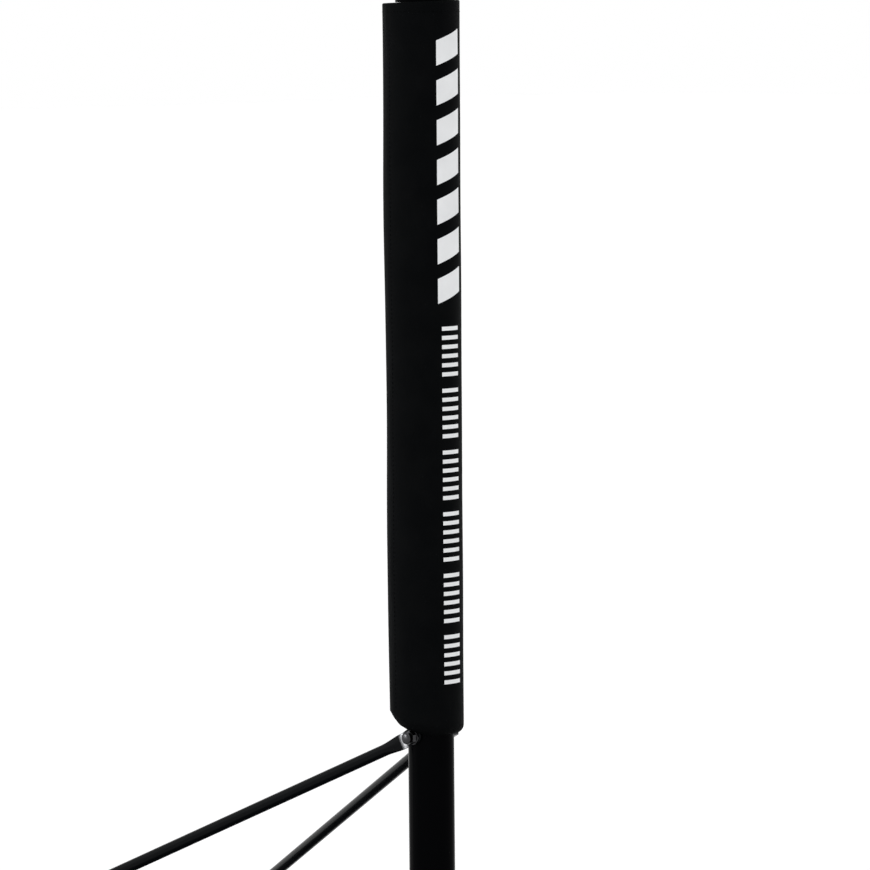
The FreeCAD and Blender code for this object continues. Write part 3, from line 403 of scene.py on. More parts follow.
class Finish:
    """A material round one Principled shader, built up a layer at a time."""

    def __init__(self, name, color, roughness, metallic=0.0, specular=0.5):
        self.material = bpy.data.materials.new(name)
        self.material.use_nodes = True
        self.tree = self.material.node_tree
        self.shader = self.tree.nodes["Principled BSDF"]
        self.color = color + (1,)
        self.shader.inputs["Base Color"].default_value = self.color
        self.shader.inputs["Roughness"].default_value = roughness
        self.shader.inputs["Metallic"].default_value = metallic
        self.shader.inputs["Specular IOR Level"].default_value = specular
        self.place = self.tree.nodes.new("ShaderNodeTexCoord")
        self.last_bump = None

    def link(self, source, output, target, entry):
        """Joins an output of one node to an input of another."""
        self.tree.links.new(source.outputs[output], target.inputs[entry])

    def noise(self, scale, detail, stretch=None):
        """Noise at a number of features to the metre, stretched along an axis if wanted."""
        texture = node_input(self.tree, "ShaderNodeTexNoise", Scale=scale, Detail=detail)
        if stretch:
            mapping = node_input(self.tree, "ShaderNodeMapping", Scale=stretch)
            self.link(self.place, "Object", mapping, "Vector")
            self.link(mapping, "Vector", texture, "Vector")
        else:
            self.link(self.place, "Object", texture, "Vector")
        return texture

    def threads(self, scale, direction):
        """Even waves along one direction of a sheet's own coordinates."""
        settings = (("bands_direction", direction),)
        texture = node_input(self.tree, "ShaderNodeTexWave", settings, Scale=scale)
        self.link(self.place, "UV", texture, "Vector")
        return texture

    def bump(self, source, output, distance):
        """Adds relief of a depth in metres."""
        relief = node_input(self.tree, "ShaderNodeBump", Distance=distance, Strength=1.0)
        self.link(source, output, relief, "Height")
        if self.last_bump:
            self.link(self.last_bump, "Normal", relief, "Normal")
        self.last_bump = relief
        self.link(relief, "Normal", self.shader, "Normal")
        return self

    def vary_roughness(self, source, output, low, high):
        """Lets a texture move the roughness between two values."""
        span = node_input(self.tree, "ShaderNodeMapRange")
        span.inputs["To Min"].default_value = low
        span.inputs["To Max"].default_value = high
        self.link(source, output, span, "Value")
        self.link(span, "Result", self.shader, "Roughness")
        return self

    def vary_color(self, source, output, other, start, end):
        """Lets a texture move the colour towards another one."""
        ramp = self.tree.nodes.new("ShaderNodeValToRGB")
        ramp.color_ramp.elements[0].position = start
        ramp.color_ramp.elements[0].color = self.color
        ramp.color_ramp.elements[1].position = end
        ramp.color_ramp.elements[1].color = other + (1,)
        self.link(source, output, ramp, "Fac")
        self.link(ramp, "Color", self.shader, "Base Color")
        return self


def moulded_plastic(name, color, roughness):
    """Moulded plastic with a fine spark-eroded grain and faint scuffs."""
    finish = Finish(name, color, roughness, specular=0.3)
    grain = finish.noise(1400, 3)
    scuffs = finish.noise(22, 4, (1, 1, 0.4))
    finish.bump(grain, "Fac", 0.00008)
    finish.vary_roughness(scuffs, "Fac", roughness - 0.1, roughness + 0.12)
    lighter = tuple(c * 1.7 + 0.002 for c in color)
    return finish.vary_color(scuffs, "Fac", lighter, 0.5, 0.85).material


def powder_coat(name, color):
    """Black powder coat: a fine orange peel over steel, bright only at a grazing angle."""
    finish = Finish(name, color, 0.2, specular=0.008)
    peel = finish.noise(900, 2)
    handling = finish.noise(9, 3)
    finish.bump(peel, "Fac", 0.00001)
    finish.vary_roughness(handling, "Fac", 0.14, 0.24)
    return finish.vary_color(handling, "Fac", tuple(c * 1.6 for c in color), 0.45, 0.8).material


def enamel_with_painted_highlight(name, color, metal):
    """Black enamel, with bright bare metal painted in as a highlight by the share that the piece's
    highlight attribute gives.

    The colours of the Mix node are reached by number, because it has one of each name to a type.
    """
    finish = Finish(name, color, 0.26, specular=0.06)
    peel = finish.noise(900, 2)
    finish.bump(peel, "Fac", 0.00003)
    # The painted highlight: bright bare metal mixed into the black by the attribute's share, broken up by
    # flakes
    painted_highlight = node_input(finish.tree, "ShaderNodeAttribute", (("attribute_name", "painted_highlight"),))
    flakes = finish.noise(500, 4)
    edge = node_input(finish.tree, "ShaderNodeMath", (("operation", "MULTIPLY"),))
    finish.link(painted_highlight, "Fac", edge, 0)
    finish.link(flakes, "Fac", edge, 1)
    highlight_mix = node_input(finish.tree, "ShaderNodeMapRange")
    highlight_mix.inputs["From Min"].default_value = 0.06
    highlight_mix.inputs["From Max"].default_value = 0.55
    finish.link(edge, "Value", highlight_mix, "Value")
    mix = node_input(finish.tree, "ShaderNodeMix", (("data_type", "RGBA"),))
    mix.inputs[6].default_value = finish.color
    mix.inputs[7].default_value = metal + (1,)
    finish.link(highlight_mix, "Result", mix, "Factor")
    finish.tree.links.new(mix.outputs[2], finish.shader.inputs["Base Color"])
    finish.link(highlight_mix, "Result", finish.shader, "Metallic")
    return finish.material


def plated_steel(name, color, roughness):
    """Zinc plate with faint drawing lines and cloudy patches."""
    finish = Finish(name, color, roughness, metallic=1.0)
    lines = finish.noise(300, 2, (1, 1, 14))
    clouds = finish.noise(60, 3)
    finish.bump(lines, "Fac", 0.00001)
    finish.vary_roughness(clouds, "Fac", roughness - 0.08, roughness + 0.12)
    darker = tuple(c * 0.78 for c in color)
    return finish.vary_color(clouds, "Fac", darker, 0.45, 0.8).material


def cast_metal(name, color):
    """Sand-cast light metal, tumbled smooth."""
    finish = Finish(name, color, 0.42, metallic=1.0)
    sand = finish.noise(700, 4)
    finish.bump(sand, "Fac", 0.00006)
    return finish.vary_roughness(sand, "Fac", 0.34, 0.55).material


def woven(name, color, pitch, depth, roughness, specular, other):
    """Cloth: two crossing sets of threads along the sheet's own directions, with a soft cloudy shade."""
    finish = Finish(name, color, roughness, specular=specular)
    scale = math.pi / (10 * pitch)
    finish.bump(finish.threads(scale, "X"), "Fac", depth)
    finish.bump(finish.threads(scale, "Y"), "Fac", depth)
    shade = finish.noise(35, 3)
    finish.vary_roughness(shade, "Fac", roughness - 0.08, roughness + 0.08)
    return finish.vary_color(shade, "Fac", other, 0.35, 0.75).material


def twisted(name, color, pitch, roughness, metallic=0.0):
    """Laid strands: slanting ridges along a cord or wire."""
    finish = Finish(name, color, roughness, metallic=metallic, specular=0.3)
    slant = math.radians(35)
    mapping = node_input(finish.tree, "ShaderNodeMapping", Rotation=(0.0, slant, slant))
    finish.link(finish.place, "Object", mapping, "Vector")
    ridges = node_input(finish.tree, "ShaderNodeTexWave", Scale=math.pi / (10 * pitch))
    finish.link(mapping, "Vector", ridges, "Vector")
    finish.bump(ridges, "Fac", 0.0003)
    fuzz = finish.noise(900, 2)
    finish.bump(fuzz, "Fac", 0.0001)
    return finish.vary_color(ridges, "Fac", tuple(c * 0.78 for c in color), 0.5, 1.0).material


MATERIALS = {
    "tank_plastic": moulded_plastic("tank_plastic", (0.016, 0.017, 0.019), 0.5),
    "black_steel": powder_coat("black_steel", (0.0012, 0.0013, 0.0016)),
    # The braces' black enamel, with bright bare metal painted in as a highlight at their pressed bends
    "brace_paint": enamel_with_painted_highlight("brace_paint", (0.0026, 0.0032, 0.0038), (0.72, 0.73, 0.75)),
    "bolt_steel": plated_steel("bolt_steel", (0.042, 0.042, 0.044), 0.2),
    "bright_steel": plated_steel("bright_steel", (0.4, 0.4, 0.41), 0.3),
    "grey_plastic": moulded_plastic("grey_plastic", (0.035, 0.036, 0.04), 0.42),
    "pad_vinyl": woven("pad_vinyl", (0.0022, 0.0025, 0.0028), 0.0011, 0.00006, 0.55, 0.01,
                       (0.0032, 0.0035, 0.0038)),
    "pad_print": woven("pad_print", (0.86, 0.87, 0.88), 0.0011, 0.00003, 0.55, 0.3, (0.8, 0.81, 0.82)),
    "wheel_plastic": moulded_plastic("wheel_plastic", (0.02, 0.02, 0.021), 0.6),
    "head_metal": cast_metal("head_metal", (0.34, 0.345, 0.355)),
    "cable_wire": twisted("cable_wire", (0.42, 0.425, 0.44), 0.003, 0.35, metallic=1.0),
    "net_cord": twisted("net_cord", (0.012, 0.012, 0.013), 0.003, 0.75),
    "band_cloth": woven("band_cloth", (0.82, 0.82, 0.8), 0.0014, 0.0001, 0.7, 0.2, (0.74, 0.74, 0.72)),
    "rope_cord": twisted("rope_cord", (0.78, 0.78, 0.76), 0.004, 0.7),
    "rod_fibre": moulded_plastic("rod_fibre", (0.72, 0.68, 0.52), 0.3),
    "winch_zinc": plated_steel("winch_zinc", (0.36, 0.365, 0.37), 0.36),
}


def dress(piece, slot):
    """Gives a piece the finish of one of the record's slots."""
    piece.data.materials.clear()
    piece.data.materials.append(MATERIALS[slot])
    return piece


def set_camera():
    """The camera where the photograph was taken from, looking at the left pole's pad."""
    pole = middle("left_outer_pole")
    place = Vector((pole.x + CAMERA_AWAY * math.cos(CAMERA_TURN),
                    pole.y - CAMERA_AWAY * math.sin(CAMERA_TURN), CAMERA_HEIGHT))
    ahead = Vector((pole.x - place.x, pole.y - place.y, 0)).normalized()
    ahead.rotate(Matrix.Rotation(CAMERA_YAW, 3, "Z"))
    side = ahead.cross(UP)
    look = ahead * math.cos(CAMERA_PITCH) + UP * math.sin(CAMERA_PITCH)
    above = side.cross(look)
    right = side * math.cos(CAMERA_ROLL) + above * math.sin(CAMERA_ROLL)
    head_up = above * math.cos(CAMERA_ROLL) - side * math.sin(CAMERA_ROLL)
    bpy.ops.object.camera_add()
    camera = bpy.context.active_object
    camera.name = "camera"
    camera.data.lens = CAMERA_LENS
    camera.data.sensor_width = 36
    camera.data.clip_end = 200
    turned = Matrix((right, head_up, -look)).transposed().to_4x4()
    camera.matrix_world = Matrix.Translation(place) @ turned
    bpy.context.scene.camera = camera


def looked_at(tree):
    """A value that is 1 for camera, mirror and glass rays, and 0 for the rays that carry light."""
    rays = tree.nodes.new("ShaderNodeLightPath")
    value = rays.outputs["Is Camera Ray"]
    for kind in ("Is Glossy Ray", "Is Transmission Ray"):
        either = node_input(tree, "ShaderNodeMath", (("operation", "MAXIMUM"),))
        tree.links.new(value, either.inputs[0])
        tree.links.new(rays.outputs[kind], either.inputs[1])
        value = either.outputs[0]
    return value


def aimed(name, place, target):
    """Names the lamp that an operator has just added, and turns it towards a point."""
    lamp = bpy.context.active_object
    lamp.name = name
    lamp.rotation_euler = (target - place).to_track_quat("-Z", "Y").to_euler()
    return lamp


def set_light():
    """Even white surroundings, a soft broad light from each side and one small low lamp."""
    world = bpy.data.worlds.new("studio")
    bpy.context.scene.world = world
    world.use_nodes = True
    tree = world.node_tree
    surround = tree.nodes["Background"]
    surround.inputs["Color"].default_value = (1, 1, 1, 1)
    level = node_input(tree, "ShaderNodeMapRange")
    level.inputs["To Min"].default_value = SURROUND_LIGHT
    level.inputs["To Max"].default_value = SURROUND_SEEN
    tree.links.new(looked_at(tree), level.inputs["Value"])
    tree.links.new(level.outputs["Result"], surround.inputs["Strength"])
    for name, place, power in SUNS:
        bpy.ops.object.light_add(type="SUN", location=place)
        light = aimed(name, Vector(place), Vector((0, 0, 0)))
        light.data.angle = SUN_ANGLE
        light.data.energy = power
    bpy.ops.object.light_add(type="AREA", location=LAMP_PLACE)
    lamp = aimed("lamp_low", LAMP_PLACE, LAMP_TARGET)
    lamp.data.shape = "RECTANGLE"
    lamp.data.size, lamp.data.size_y = LAMP_SIZE
    lamp.data.energy = LAMP_POWER


def set_floor():
    """A wide pale floor that the camera sees as white, apart from the shadows on it."""
    bpy.ops.mesh.primitive_plane_add(size=FLOOR_SIZE, location=(0, 0, 0))
    floor = named("floor")
    material = bpy.data.materials.new("pale_floor")
    material.use_nodes = True
    tree = material.node_tree
    shader = tree.nodes["Principled BSDF"]
    shader.inputs["Base Color"].default_value = (FLOOR_SHADE, FLOOR_SHADE, FLOOR_SHADE, 1)
    shader.inputs["Roughness"].default_value = 0.9
    shader.inputs["Specular IOR Level"].default_value = 0.1
    shader.inputs["Emission Color"].default_value = (1, 1, 1, 1)
    glow = node_input(tree, "ShaderNodeMath", (("operation", "MULTIPLY"),))
    glow.inputs[1].default_value = FLOOR_GLOW
    tree.links.new(looked_at(tree), glow.inputs[0])
    tree.links.new(glow.outputs[0], shader.inputs["Emission Strength"])
    floor.data.materials.append(material)


def ease(value):
    """A smooth step from 0 to 1."""
    value = min(1.0, max(0.0, value))
    return value * value * (3 - 2 * value)


class Pad:
    """The shape of one pole's pad, with the pole on the Z axis and the net towards +X."""

    def __init__(self, node, side):
        low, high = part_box(node)
        self.low = low.z + PAD_FOOT_CLEAR
        self.high = high.z - PAD_TOP_CLEAR
        self.side = side
        self.pole = middle(node.replace("pole_pad", "outer_pole"))

    def to_world(self, x, y, z):
        """A point of the post's frame in the part's frame."""
        return Vector((self.pole.x - self.side * x, self.pole.y - self.side * y, z))

    def radius(self, turn, height):
        """How far the cover stands from the pad's middle."""
        share = (height - self.low) / (self.high - self.low)
        full = PAD_FOOT_R + (PAD_TOP_R - PAD_FOOT_R) * share
        slack = max(0.0, math.cos(turn - DRAWN_SIDE)) ** 2
        bulge = BULGE * slack * math.cos(2 * math.pi * (height - BULGE_Z) / BULGE_LENGTH)
        ripple = RIPPLE * math.sin(3 * turn + 9 * height) * math.sin(31 * height + 2 * turn)
        round_from_lap = (turn - LAP_EDGE) % (2 * math.pi)
        under = LAP * ease((round_from_lap - (2 * math.pi - LAP_EASE)) / LAP_EASE)
        loose = LAP_CURL * max(0.0, 1 - round_from_lap / LAP_CURL_TURN)
        curl = loose * (0.5 + 0.5 * math.sin(43 * height))
        return full + bulge + ripple - under + curl

    def hem(self, turn):
        """The hem's height, how far it turns in, where its foot is and by what share it is drawn."""
        drawn = 0.5 + 0.5 * math.cos(turn - DRAWN_SIDE)
        foot = self.low + HEM_RISE * drawn ** 3
        return HEM_HEIGHT + HEM_HEIGHT_DRAWN * drawn, HEM_IN + HEM_IN_DRAWN * drawn, foot, drawn

    def outline(self, turn):
        """The points of the pad's section at a turn, from its bore's top round to its bore's foot."""
        top = self.high + PAD_RIM_RISE * (0.5 - 0.5 * math.cos(turn - DRAWN_SIDE))
        crown = self.radius(turn, top)
        hem_high, hem_in, foot, drawn = self.hem(turn)
        bore = self.bore(turn)
        inner = self.high - PAD_RIM_SINK
        face = crown - PAD_EDGE
        points = [(bore, inner), (bore + 0.3 * (crown - bore), inner + 0.0003),
                  (face - 0.0006, inner + 0.0005), (face - 0.0002, inner + 0.0018)]
        for k in range(5):
            angle = math.pi / 2 * k / 4
            drop = PAD_EDGE * (1 - math.cos(angle)) * PAD_EDGE_FLAT
            points.append((crown - PAD_EDGE * (1 - math.sin(angle)), top - drop))
        start = top - PAD_EDGE
        end = foot + hem_high
        for k in range(1, PAD_ROWS + 1):
            height = start + (end - start) * k / PAD_ROWS
            points.append((self.radius(turn, height), height))
        corner = self.radius(turn, end)
        for share in (k / 10 for k in range(1, 11)):
            slanting = 0.62 * share + 0.38 * share ** 5
            rounded = 1 - math.sqrt(max(0.0, 1 - share ** 2))
            drawn_in = slanting * drawn + rounded * (1 - drawn)
            points.append((corner - hem_in * drawn_in, end - hem_high * share))
        points.append((bore + 0.0002, foot + 0.0003))
        points.append((bore, foot + 0.003))
        return points

    def bore(self, turn):
        """How far the pole's surface is from the pad's middle, which stands behind the pole's axis."""
        return PAD_BACK * math.cos(turn) + math.sqrt(PAD_BORE_R ** 2 - (PAD_BACK * math.sin(turn)) ** 2)

    def on_cover(self, turn, height, rise):
        """A point a little over the cover, in the part's frame."""
        radius = self.radius(turn, height) + rise
        return self.to_world(-PAD_BACK + radius * math.cos(turn), radius * math.sin(turn), height)


def pad_body(pad, name):
    """The foam sleeve in its cover. Its last section stops just short of the first, under the lap."""
    outlines = []
    for k in range(PAD_SIDES + 1):
        turn = LAP_EDGE + 2 * math.pi * k / PAD_SIDES
        if k == PAD_SIDES:
            turn = LAP_EDGE + 2 * math.pi - LAP_SHORT
        outlines.append((turn, pad.outline(turn)))
    last = len(outlines[0][1])

    def place(across, run):
        turn, points = outlines[round(across * PAD_SIDES)]
        radius, height = points[round(run * last) % last]
        return pad.to_world(-PAD_BACK + radius * math.cos(turn), radius * math.sin(turn), height)

    around = 2 * math.pi * PAD_FOOT_R
    piece = wrapped(name, PAD_SIDES, last, place, (around, pad.high - pad.low))
    return smooth(weld(piece), 40)


def seam(pad, name):
    """The two rows of stitches: one beside the lap's free edge and one round the pad's crown."""
    stitches = []
    steps = int((pad.high - pad.low - LAP_SEAM_SHORT) / STITCH_STEP)
    foot = pad.low + LAP_SEAM_FOOT
    spots = [(LAP_EDGE + LAP_SEAM_TURN, foot + k * STITCH_STEP, True) for k in range(steps)]
    level = pad.high - CROWN_SEAM_DOWN
    spots += [(2 * math.pi * k / CROWN_STITCHES, level, False) for k in range(CROWN_STITCHES)]
    for turn, height, upright in spots:
        def place(across, run):
            swell = math.sin(math.pi * run)
            side = STITCH_HALF * math.cos(2 * math.pi * across) * swell
            rise = STITCH_RISE * swell + STITCH_ROUND * math.sin(2 * math.pi * across) * swell
            along = STITCH * (run - 0.5)
            if upright:
                return pad.on_cover(turn + side / PAD_FOOT_R, height + along, rise)
            return pad.on_cover(turn + along / PAD_FOOT_R, height + side, rise)
        stitches.append(weld(wrapped("stitch", 6, 4, place), TIP_GAP))
    return smooth(join(stitches, name), 60)


def pad_marks(pad, name):
    """The white marks: bold slanting bars above and groups of short fine bars below."""
    marks = []

    def patch(height, tall, half, slant, steps):
        def place(across, run):
            turn = half * (2 * across - 1)
            return pad.on_cover(turn, height + tall * run + slant * (across - 0.5), MARK_RISE)
        mark = wrapped("bar", steps, 6, place, (2 * half * PAD_FOOT_R, tall))
        marks.append(thicken(mark, MARK_THICK, -1))

    for bar in range(BOLD_BARS):
        patch(BOLD_TOP - BOLD_STEP * bar, BOLD_TALL, BOLD_HALF, BOLD_SLANT, steps=14)
    for group in range(FINE_GROUPS):
        for bar in range(FINE_BARS):
            height = FINE_TOP - FINE_GROUP_STEP * group - FINE_STEP * bar
            patch(height, FINE_TALL, FINE_HALF, 0.0, steps=10)
    return smooth(join(marks, name), 50)


def pads():
    """The pads of both posts with their stitches and marks."""
    for name, side in (("left", -1), ("right", 1)):
        pad = Pad(name + "_pole_pad", side)
        body = dress(pad_body(pad, name + "_pad_body"), "pad_vinyl")
        stitches = dress(seam(pad, name + "_pad_seams"), "pad_vinyl")
        marks = dress(pad_marks(pad, name + "_pad_marks"), "pad_print")
        for piece in (body, stitches, marks):
            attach(piece, "stand")
        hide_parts(name + "_pole_pad")


def pressed_end(tip, bend, flat, run_in):
    """Sections from the round tip of a pressed end, over its bend and into the full tube.

    Each is its middle, its wide and thin directions, its half sizes and how much painted highlight it
    carries.
    """
    heading = (bend - tip).normalized()
    wide = flat.cross(heading)
    reach = (bend - tip).length
    part = []
    for k in range(9):
        angle = math.pi / 2 * k / 8
        part.append((tip - heading * TAB_WIDEST * math.cos(angle), wide, flat,
                     max(TAB_LEAST, TAB_WIDEST * math.sin(angle)), TAB_THIN, 0.0))
    for k in range(TAB_STEPS + 1):
        along = -BEND_BEFORE + (TAB_NECK + BEND_BEFORE) * k / TAB_STEPS
        turn = ease((along + BEND_BEFORE) / BEND_LENGTH)
        spot = bend + (heading * along if along < 0 else run_in * along)
        thick = (flat - run_in * flat.dot(run_in) * turn).normalized()
        broad = (wide - run_in * wide.dot(run_in) * turn).normalized()
        press = ease((along - PRESS_EASE) / (TAB_NECK - 2 * PRESS_EASE))
        # The painted highlight: bright bare metal painted over the bend, where the glossy crease would
        # catch the light
        highlight_share = math.exp(-((along + HIGHLIGHT_BEFORE) / HIGHLIGHT_REACH) ** 2)
        full = TAB_WIDEST + (TAB_HALF - TAB_WIDEST) * ease((along + reach) / reach)
        part.append((spot, broad, thick, full + (BRACE_R - full) * press,
                     TAB_THIN + (BRACE_R - TAB_THIN) * press, highlight_share))
    return part


def brace(node, side, hand):
    """One brace: a tube from the pole's bolt to its seat on the tank, pressed flat at both ends."""
    low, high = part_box(node)
    pole = middle(node.split("_")[0] + "_outer_pole")
    bolt_z = middle("strut_bolts").z
    foot_x = max(abs(low.x - pole.x), abs(high.x - pole.x)) - TAB_HALF
    foot_y = max(abs(low.y), abs(high.y)) - TAB_HALF
    tab_y = min(abs(low.y), abs(high.y)) + TAB_THIN
    foot_z = low.z + TAB_THIN
    splay = math.atan2(foot_y - tab_y, foot_x - TAB_BEND)
    level = Vector((-math.cos(splay), hand * math.sin(splay), 0))
    foot = Vector((-foot_x, hand * foot_y, foot_z))
    lower = foot - level * TAB_BEND
    span = math.hypot(foot_x - TAB_BEND, foot_y - tab_y) - TAB_BEND
    slope = (bolt_z - foot_z) / (span + TAB_BEND)
    bolt = Vector((0, hand * tab_y, bolt_z))
    upper = Vector((-TAB_BEND, hand * tab_y, bolt_z - TAB_BEND * slope))
    run = (lower - upper).normalized()
    top_end = pressed_end(bolt, upper, Vector((0, hand, 0)), run)
    low_end = pressed_end(foot, lower, UP, -run)
    neck_wide = top_end[-1][1]
    low_wide, low_flat = -low_end[-1][1], low_end[-1][2]
    shift = math.atan2(neck_wide.dot(low_flat), neck_wide.dot(low_wide))
    sections = [section + (0.0,) for section in top_end]
    for spot, wide, flat, half_wide, half_thin, highlight_share in reversed(low_end):
        sections.append((spot, -wide, flat, half_wide, half_thin, highlight_share, shift))
    last = len(sections) - 1

    def place(across, share):
        spot, wide, flat, half_wide, half_thin, _, turned = sections[round(share * last)]
        angle = 2 * math.pi * across + turned
        point = spot + wide * half_wide * math.cos(angle) + flat * half_thin * math.sin(angle)
        lift = TAB_LIFT * math.exp(-(spot - bolt).length / TAB_LIFT_REACH)
        return Vector((pole.x - side * point.x, pole.y - side * point.y, point.z + lift))

    piece = wrapped(node + "_pressed", BRACE_SIDES, last, place, (2 * math.pi * BRACE_R, span))
    # Each vertex's share of painted highlight, taken from its section
    painted_highlight = piece.data.attributes.new("painted_highlight", "FLOAT", "POINT")
    for index in range(len(piece.data.vertices)):
        painted_highlight.data[index].value = sections[index // (BRACE_SIDES + 1)][5]
    return dress(smooth(weld(piece), 40), "brace_paint")


def braces():
    """The four braces."""
    for name, side in (("left", -1), ("right", 1)):
        for hand_name, world_hand in (("near", -1), ("far", 1)):
            node = name + "_" + hand_name + "_strut"
            piece = brace(node, side, -side * world_hand)
            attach(piece, "stand")
            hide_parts(node)


def net_grid():
    """The places of the net's knots and of its strings' ends, row by row from the bottom."""
    low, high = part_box("net_upright_strings")
    level_low, level_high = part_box("net_level_strings")
    columns = round((level_high.x - level_low.x) / MESH)
    rows = round((high.z - low.z) / MESH)
    grid = []
    for row in range(rows + 1):
        z = low.z + (high.z - low.z) * row / rows
        line = []
        for column in range(columns + 1):
            x = level_low.x + (level_high.x - level_low.x) * column / columns
            inside = 0 < row < rows and 0 < column < columns
            slack = KNOT_SLACK if inside else 0.0
            aside = random.uniform(-slack, slack)
            up = random.uniform(-slack, slack)
            line.append(Vector((x + aside, 0, z + up)))
        grid.append(line)
    return grid


def string(name, knots):
    """One string of the net through its knots, a little slack between them."""
    steps = 3
    points = []
    for start, end in zip(knots, knots[1:]):
        sag = random.uniform(-TWINE_SAG, TWINE_SAG)
        for k in range(steps):
            share = k / steps
            point = start.lerp(end, share)
            point.y += sag * math.sin(math.pi * share)
            points.append(point)
    points.append(knots[-1])
    return tube_along(name, points, TWINE_R, 6)


def net():
    """The knotted mesh: upright strings, level strings, and a knot wherever they cross."""
    grid = net_grid()
    rows = len(grid)
    columns = len(grid[0])
    upright = [string("string", [line[column] for line in grid]) for column in range(1, columns - 1)]
    level = [string("string", grid[row]) for row in range(1, rows - 1)]
    bpy.ops.mesh.primitive_ico_sphere_add(subdivisions=2, radius=KNOT_R)
    knots = named("net_knots_tied")
    for vertex in knots.data.vertices:
        turn = math.atan2(vertex.co.z, vertex.co.x)
        waist = KNOT_WAIST * math.sin(5 * vertex.co.y / KNOT_R)
        vertex.co *= 1 + KNOT_LOBES * math.sin(3 * turn) + waist
        vertex.co.y *= KNOT_FLAT
    size = len(knots.data.vertices)
    repeat(knots, columns - 2, (MESH, 0, 0))
    repeat(knots, rows - 2, (0, 0, MESH))
    for index, vertex in enumerate(knots.data.vertices):
        row, column = divmod(index // size, columns - 2)
        vertex.co += grid[row + 1][column + 1] - Vector((MESH * column, 0, MESH * row))
    pieces = ((join(upright, "net_upright_strings_tied"), "net_upright_strings"),
              (join(level, "net_level_strings_tied"), "net_level_strings"), (knots, None))
    for piece, node in pieces:
        dress(smooth(piece, 60), "net_cord")
        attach(piece, "left_upright")
        if node:
            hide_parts(node)


def folded(channel_r, depth, gap, steps=14):
    """The section of a folded band: down one side, round its channel and up the other side.

    Each point is its distance out from the band's plane and in from the folded edge.
    """
    radius = channel_r + CLOTH_THICK / 2 + CHANNEL_EASE
    closes = radius * 2.6
    opens = radius * 1.35
    shoulder = radius * 0.92
    side = [(gap, depth * (1 - k / 5) + closes * k / 5) for k in range(5)]
    neck = []
    for k in range(4):
        share = k / 4
        neck.append((gap + (shoulder - gap) * ease(share), closes + (opens - closes) * share))
    arc = []
    for k in range(steps + 1):
        angle = CHANNEL_FROM + CHANNEL_ROUND * k / steps
        arc.append((radius * math.cos(angle), radius - radius * math.sin(angle)))
    half = side + neck + arc
    return half + [(-out, inward) for out, inward in reversed(half[:-1])]


def cloth_length(section):
    """The length of a section, measured along the cloth."""
    return sum(math.hypot(b[0] - a[0], b[1] - a[1]) for a, b in zip(section, section[1:]))


def long_band(node, channel_r, folded_edge_up):
    """The top or bottom band: a strip folded over the cable or rope, with two lines of stitches."""
    low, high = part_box(node)
    depth = high.z - low.z
    section = folded(channel_r, depth - 2 * BAND_CLEAR, CLOTH_THICK / 2 + LAYER_GAP)
    wide = cloth_length(section)
    length = high.x - low.x
    if folded_edge_up:
        edge = high.z - CLOTH_THICK / 2 - BAND_CLEAR
        towards = -1
    else:
        edge = low.z + CLOTH_THICK / 2 + BAND_CLEAR
        towards = 1
    last = len(section) - 1

    def spot_on(x, out, inward):
        """A point of the band, which sways most at its loose edges."""
        loose = ease(inward / depth)
        sway = loose * (0.0016 * math.sin(7.3 * x) + 0.0009 * math.sin(23.1 * x + 1.3))
        lift = 0.0006 * math.sin(11 * x) * loose
        return Vector((x, out + sway, edge + towards * inward * BAND_DRAWN + lift * 0.3))

    def place(across, run):
        out, inward = section[round(across * last)]
        return spot_on(low.x + length * run, out, inward)

    band = thicken(wrapped(node + "_cloth", last, 380, place, (wide, length)), CLOTH_THICK)
    dress(smooth(band, 50), "band_cloth")
    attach(band, "left_upright")
    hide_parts(node)
    lines = []
    start = low.x + BAND_SEAM_END
    count = int((length - 2 * BAND_SEAM_END) / BAND_STITCH_STEP)
    for inward in (channel_r * 3.6, depth - BAND_SEAM_IN):
        for face in (-1, 1):
            bpy.ops.mesh.primitive_ico_sphere_add(subdivisions=1, radius=1)
            stitch = named("stitch")
            stitch.scale = BAND_STITCH
            settle(stitch)
            size = len(stitch.data.vertices)
            repeat(stitch, count, (BAND_STITCH_STEP, 0, 0))
            away = face * (CLOTH_THICK + BAND_STITCH_RISE)
            for index, vertex in enumerate(stitch.data.vertices):
                spot = spot_on(start + BAND_STITCH_STEP * (index // size), away, inward)
                vertex.co += Vector((start, spot.y, spot.z))
            lines.append(stitch)
    stitches = dress(smooth(join(lines, node + "_stitches"), 60), "rope_cord")
    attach(stitches, "left_upright")


def end_bands():
    """The net's end bands, each folded round its rod."""
    low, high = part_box("net_side_bands")
    rod_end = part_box("net_side_rods")[1].x
    net_low, net_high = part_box("net_level_strings")
    for name, side, outer, inner in (("left", -1, low.x, net_low.x), ("right", 1, high.x, net_high.x)):
        rod_x = side * (rod_end - ROD_R)
        depth = abs(outer - inner)
        section = folded(ROD_R, depth, CLOTH_THICK / 2 + LAYER_GAP, 18)
        wide = cloth_length(section)
        last = len(section) - 1
        edge = rod_x + side * (ROD_R + CLOTH_THICK / 2 + CHANNEL_EASE)

        def place(across, run):
            out, inward = section[round(across * last)]
            z = low.z + (high.z - low.z) * run
            sway = 0.0012 * ease(inward / depth) * math.sin(17 * z + side)
            return Vector((edge - side * inward, out + sway, z))

        band = thicken(wrapped(name + "_end_band", last, 60, place, (wide, high.z - low.z)), CLOTH_THICK)
        dress(smooth(band, 50), "band_cloth")
        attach(band, "left_upright")
        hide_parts("net_side_bands")


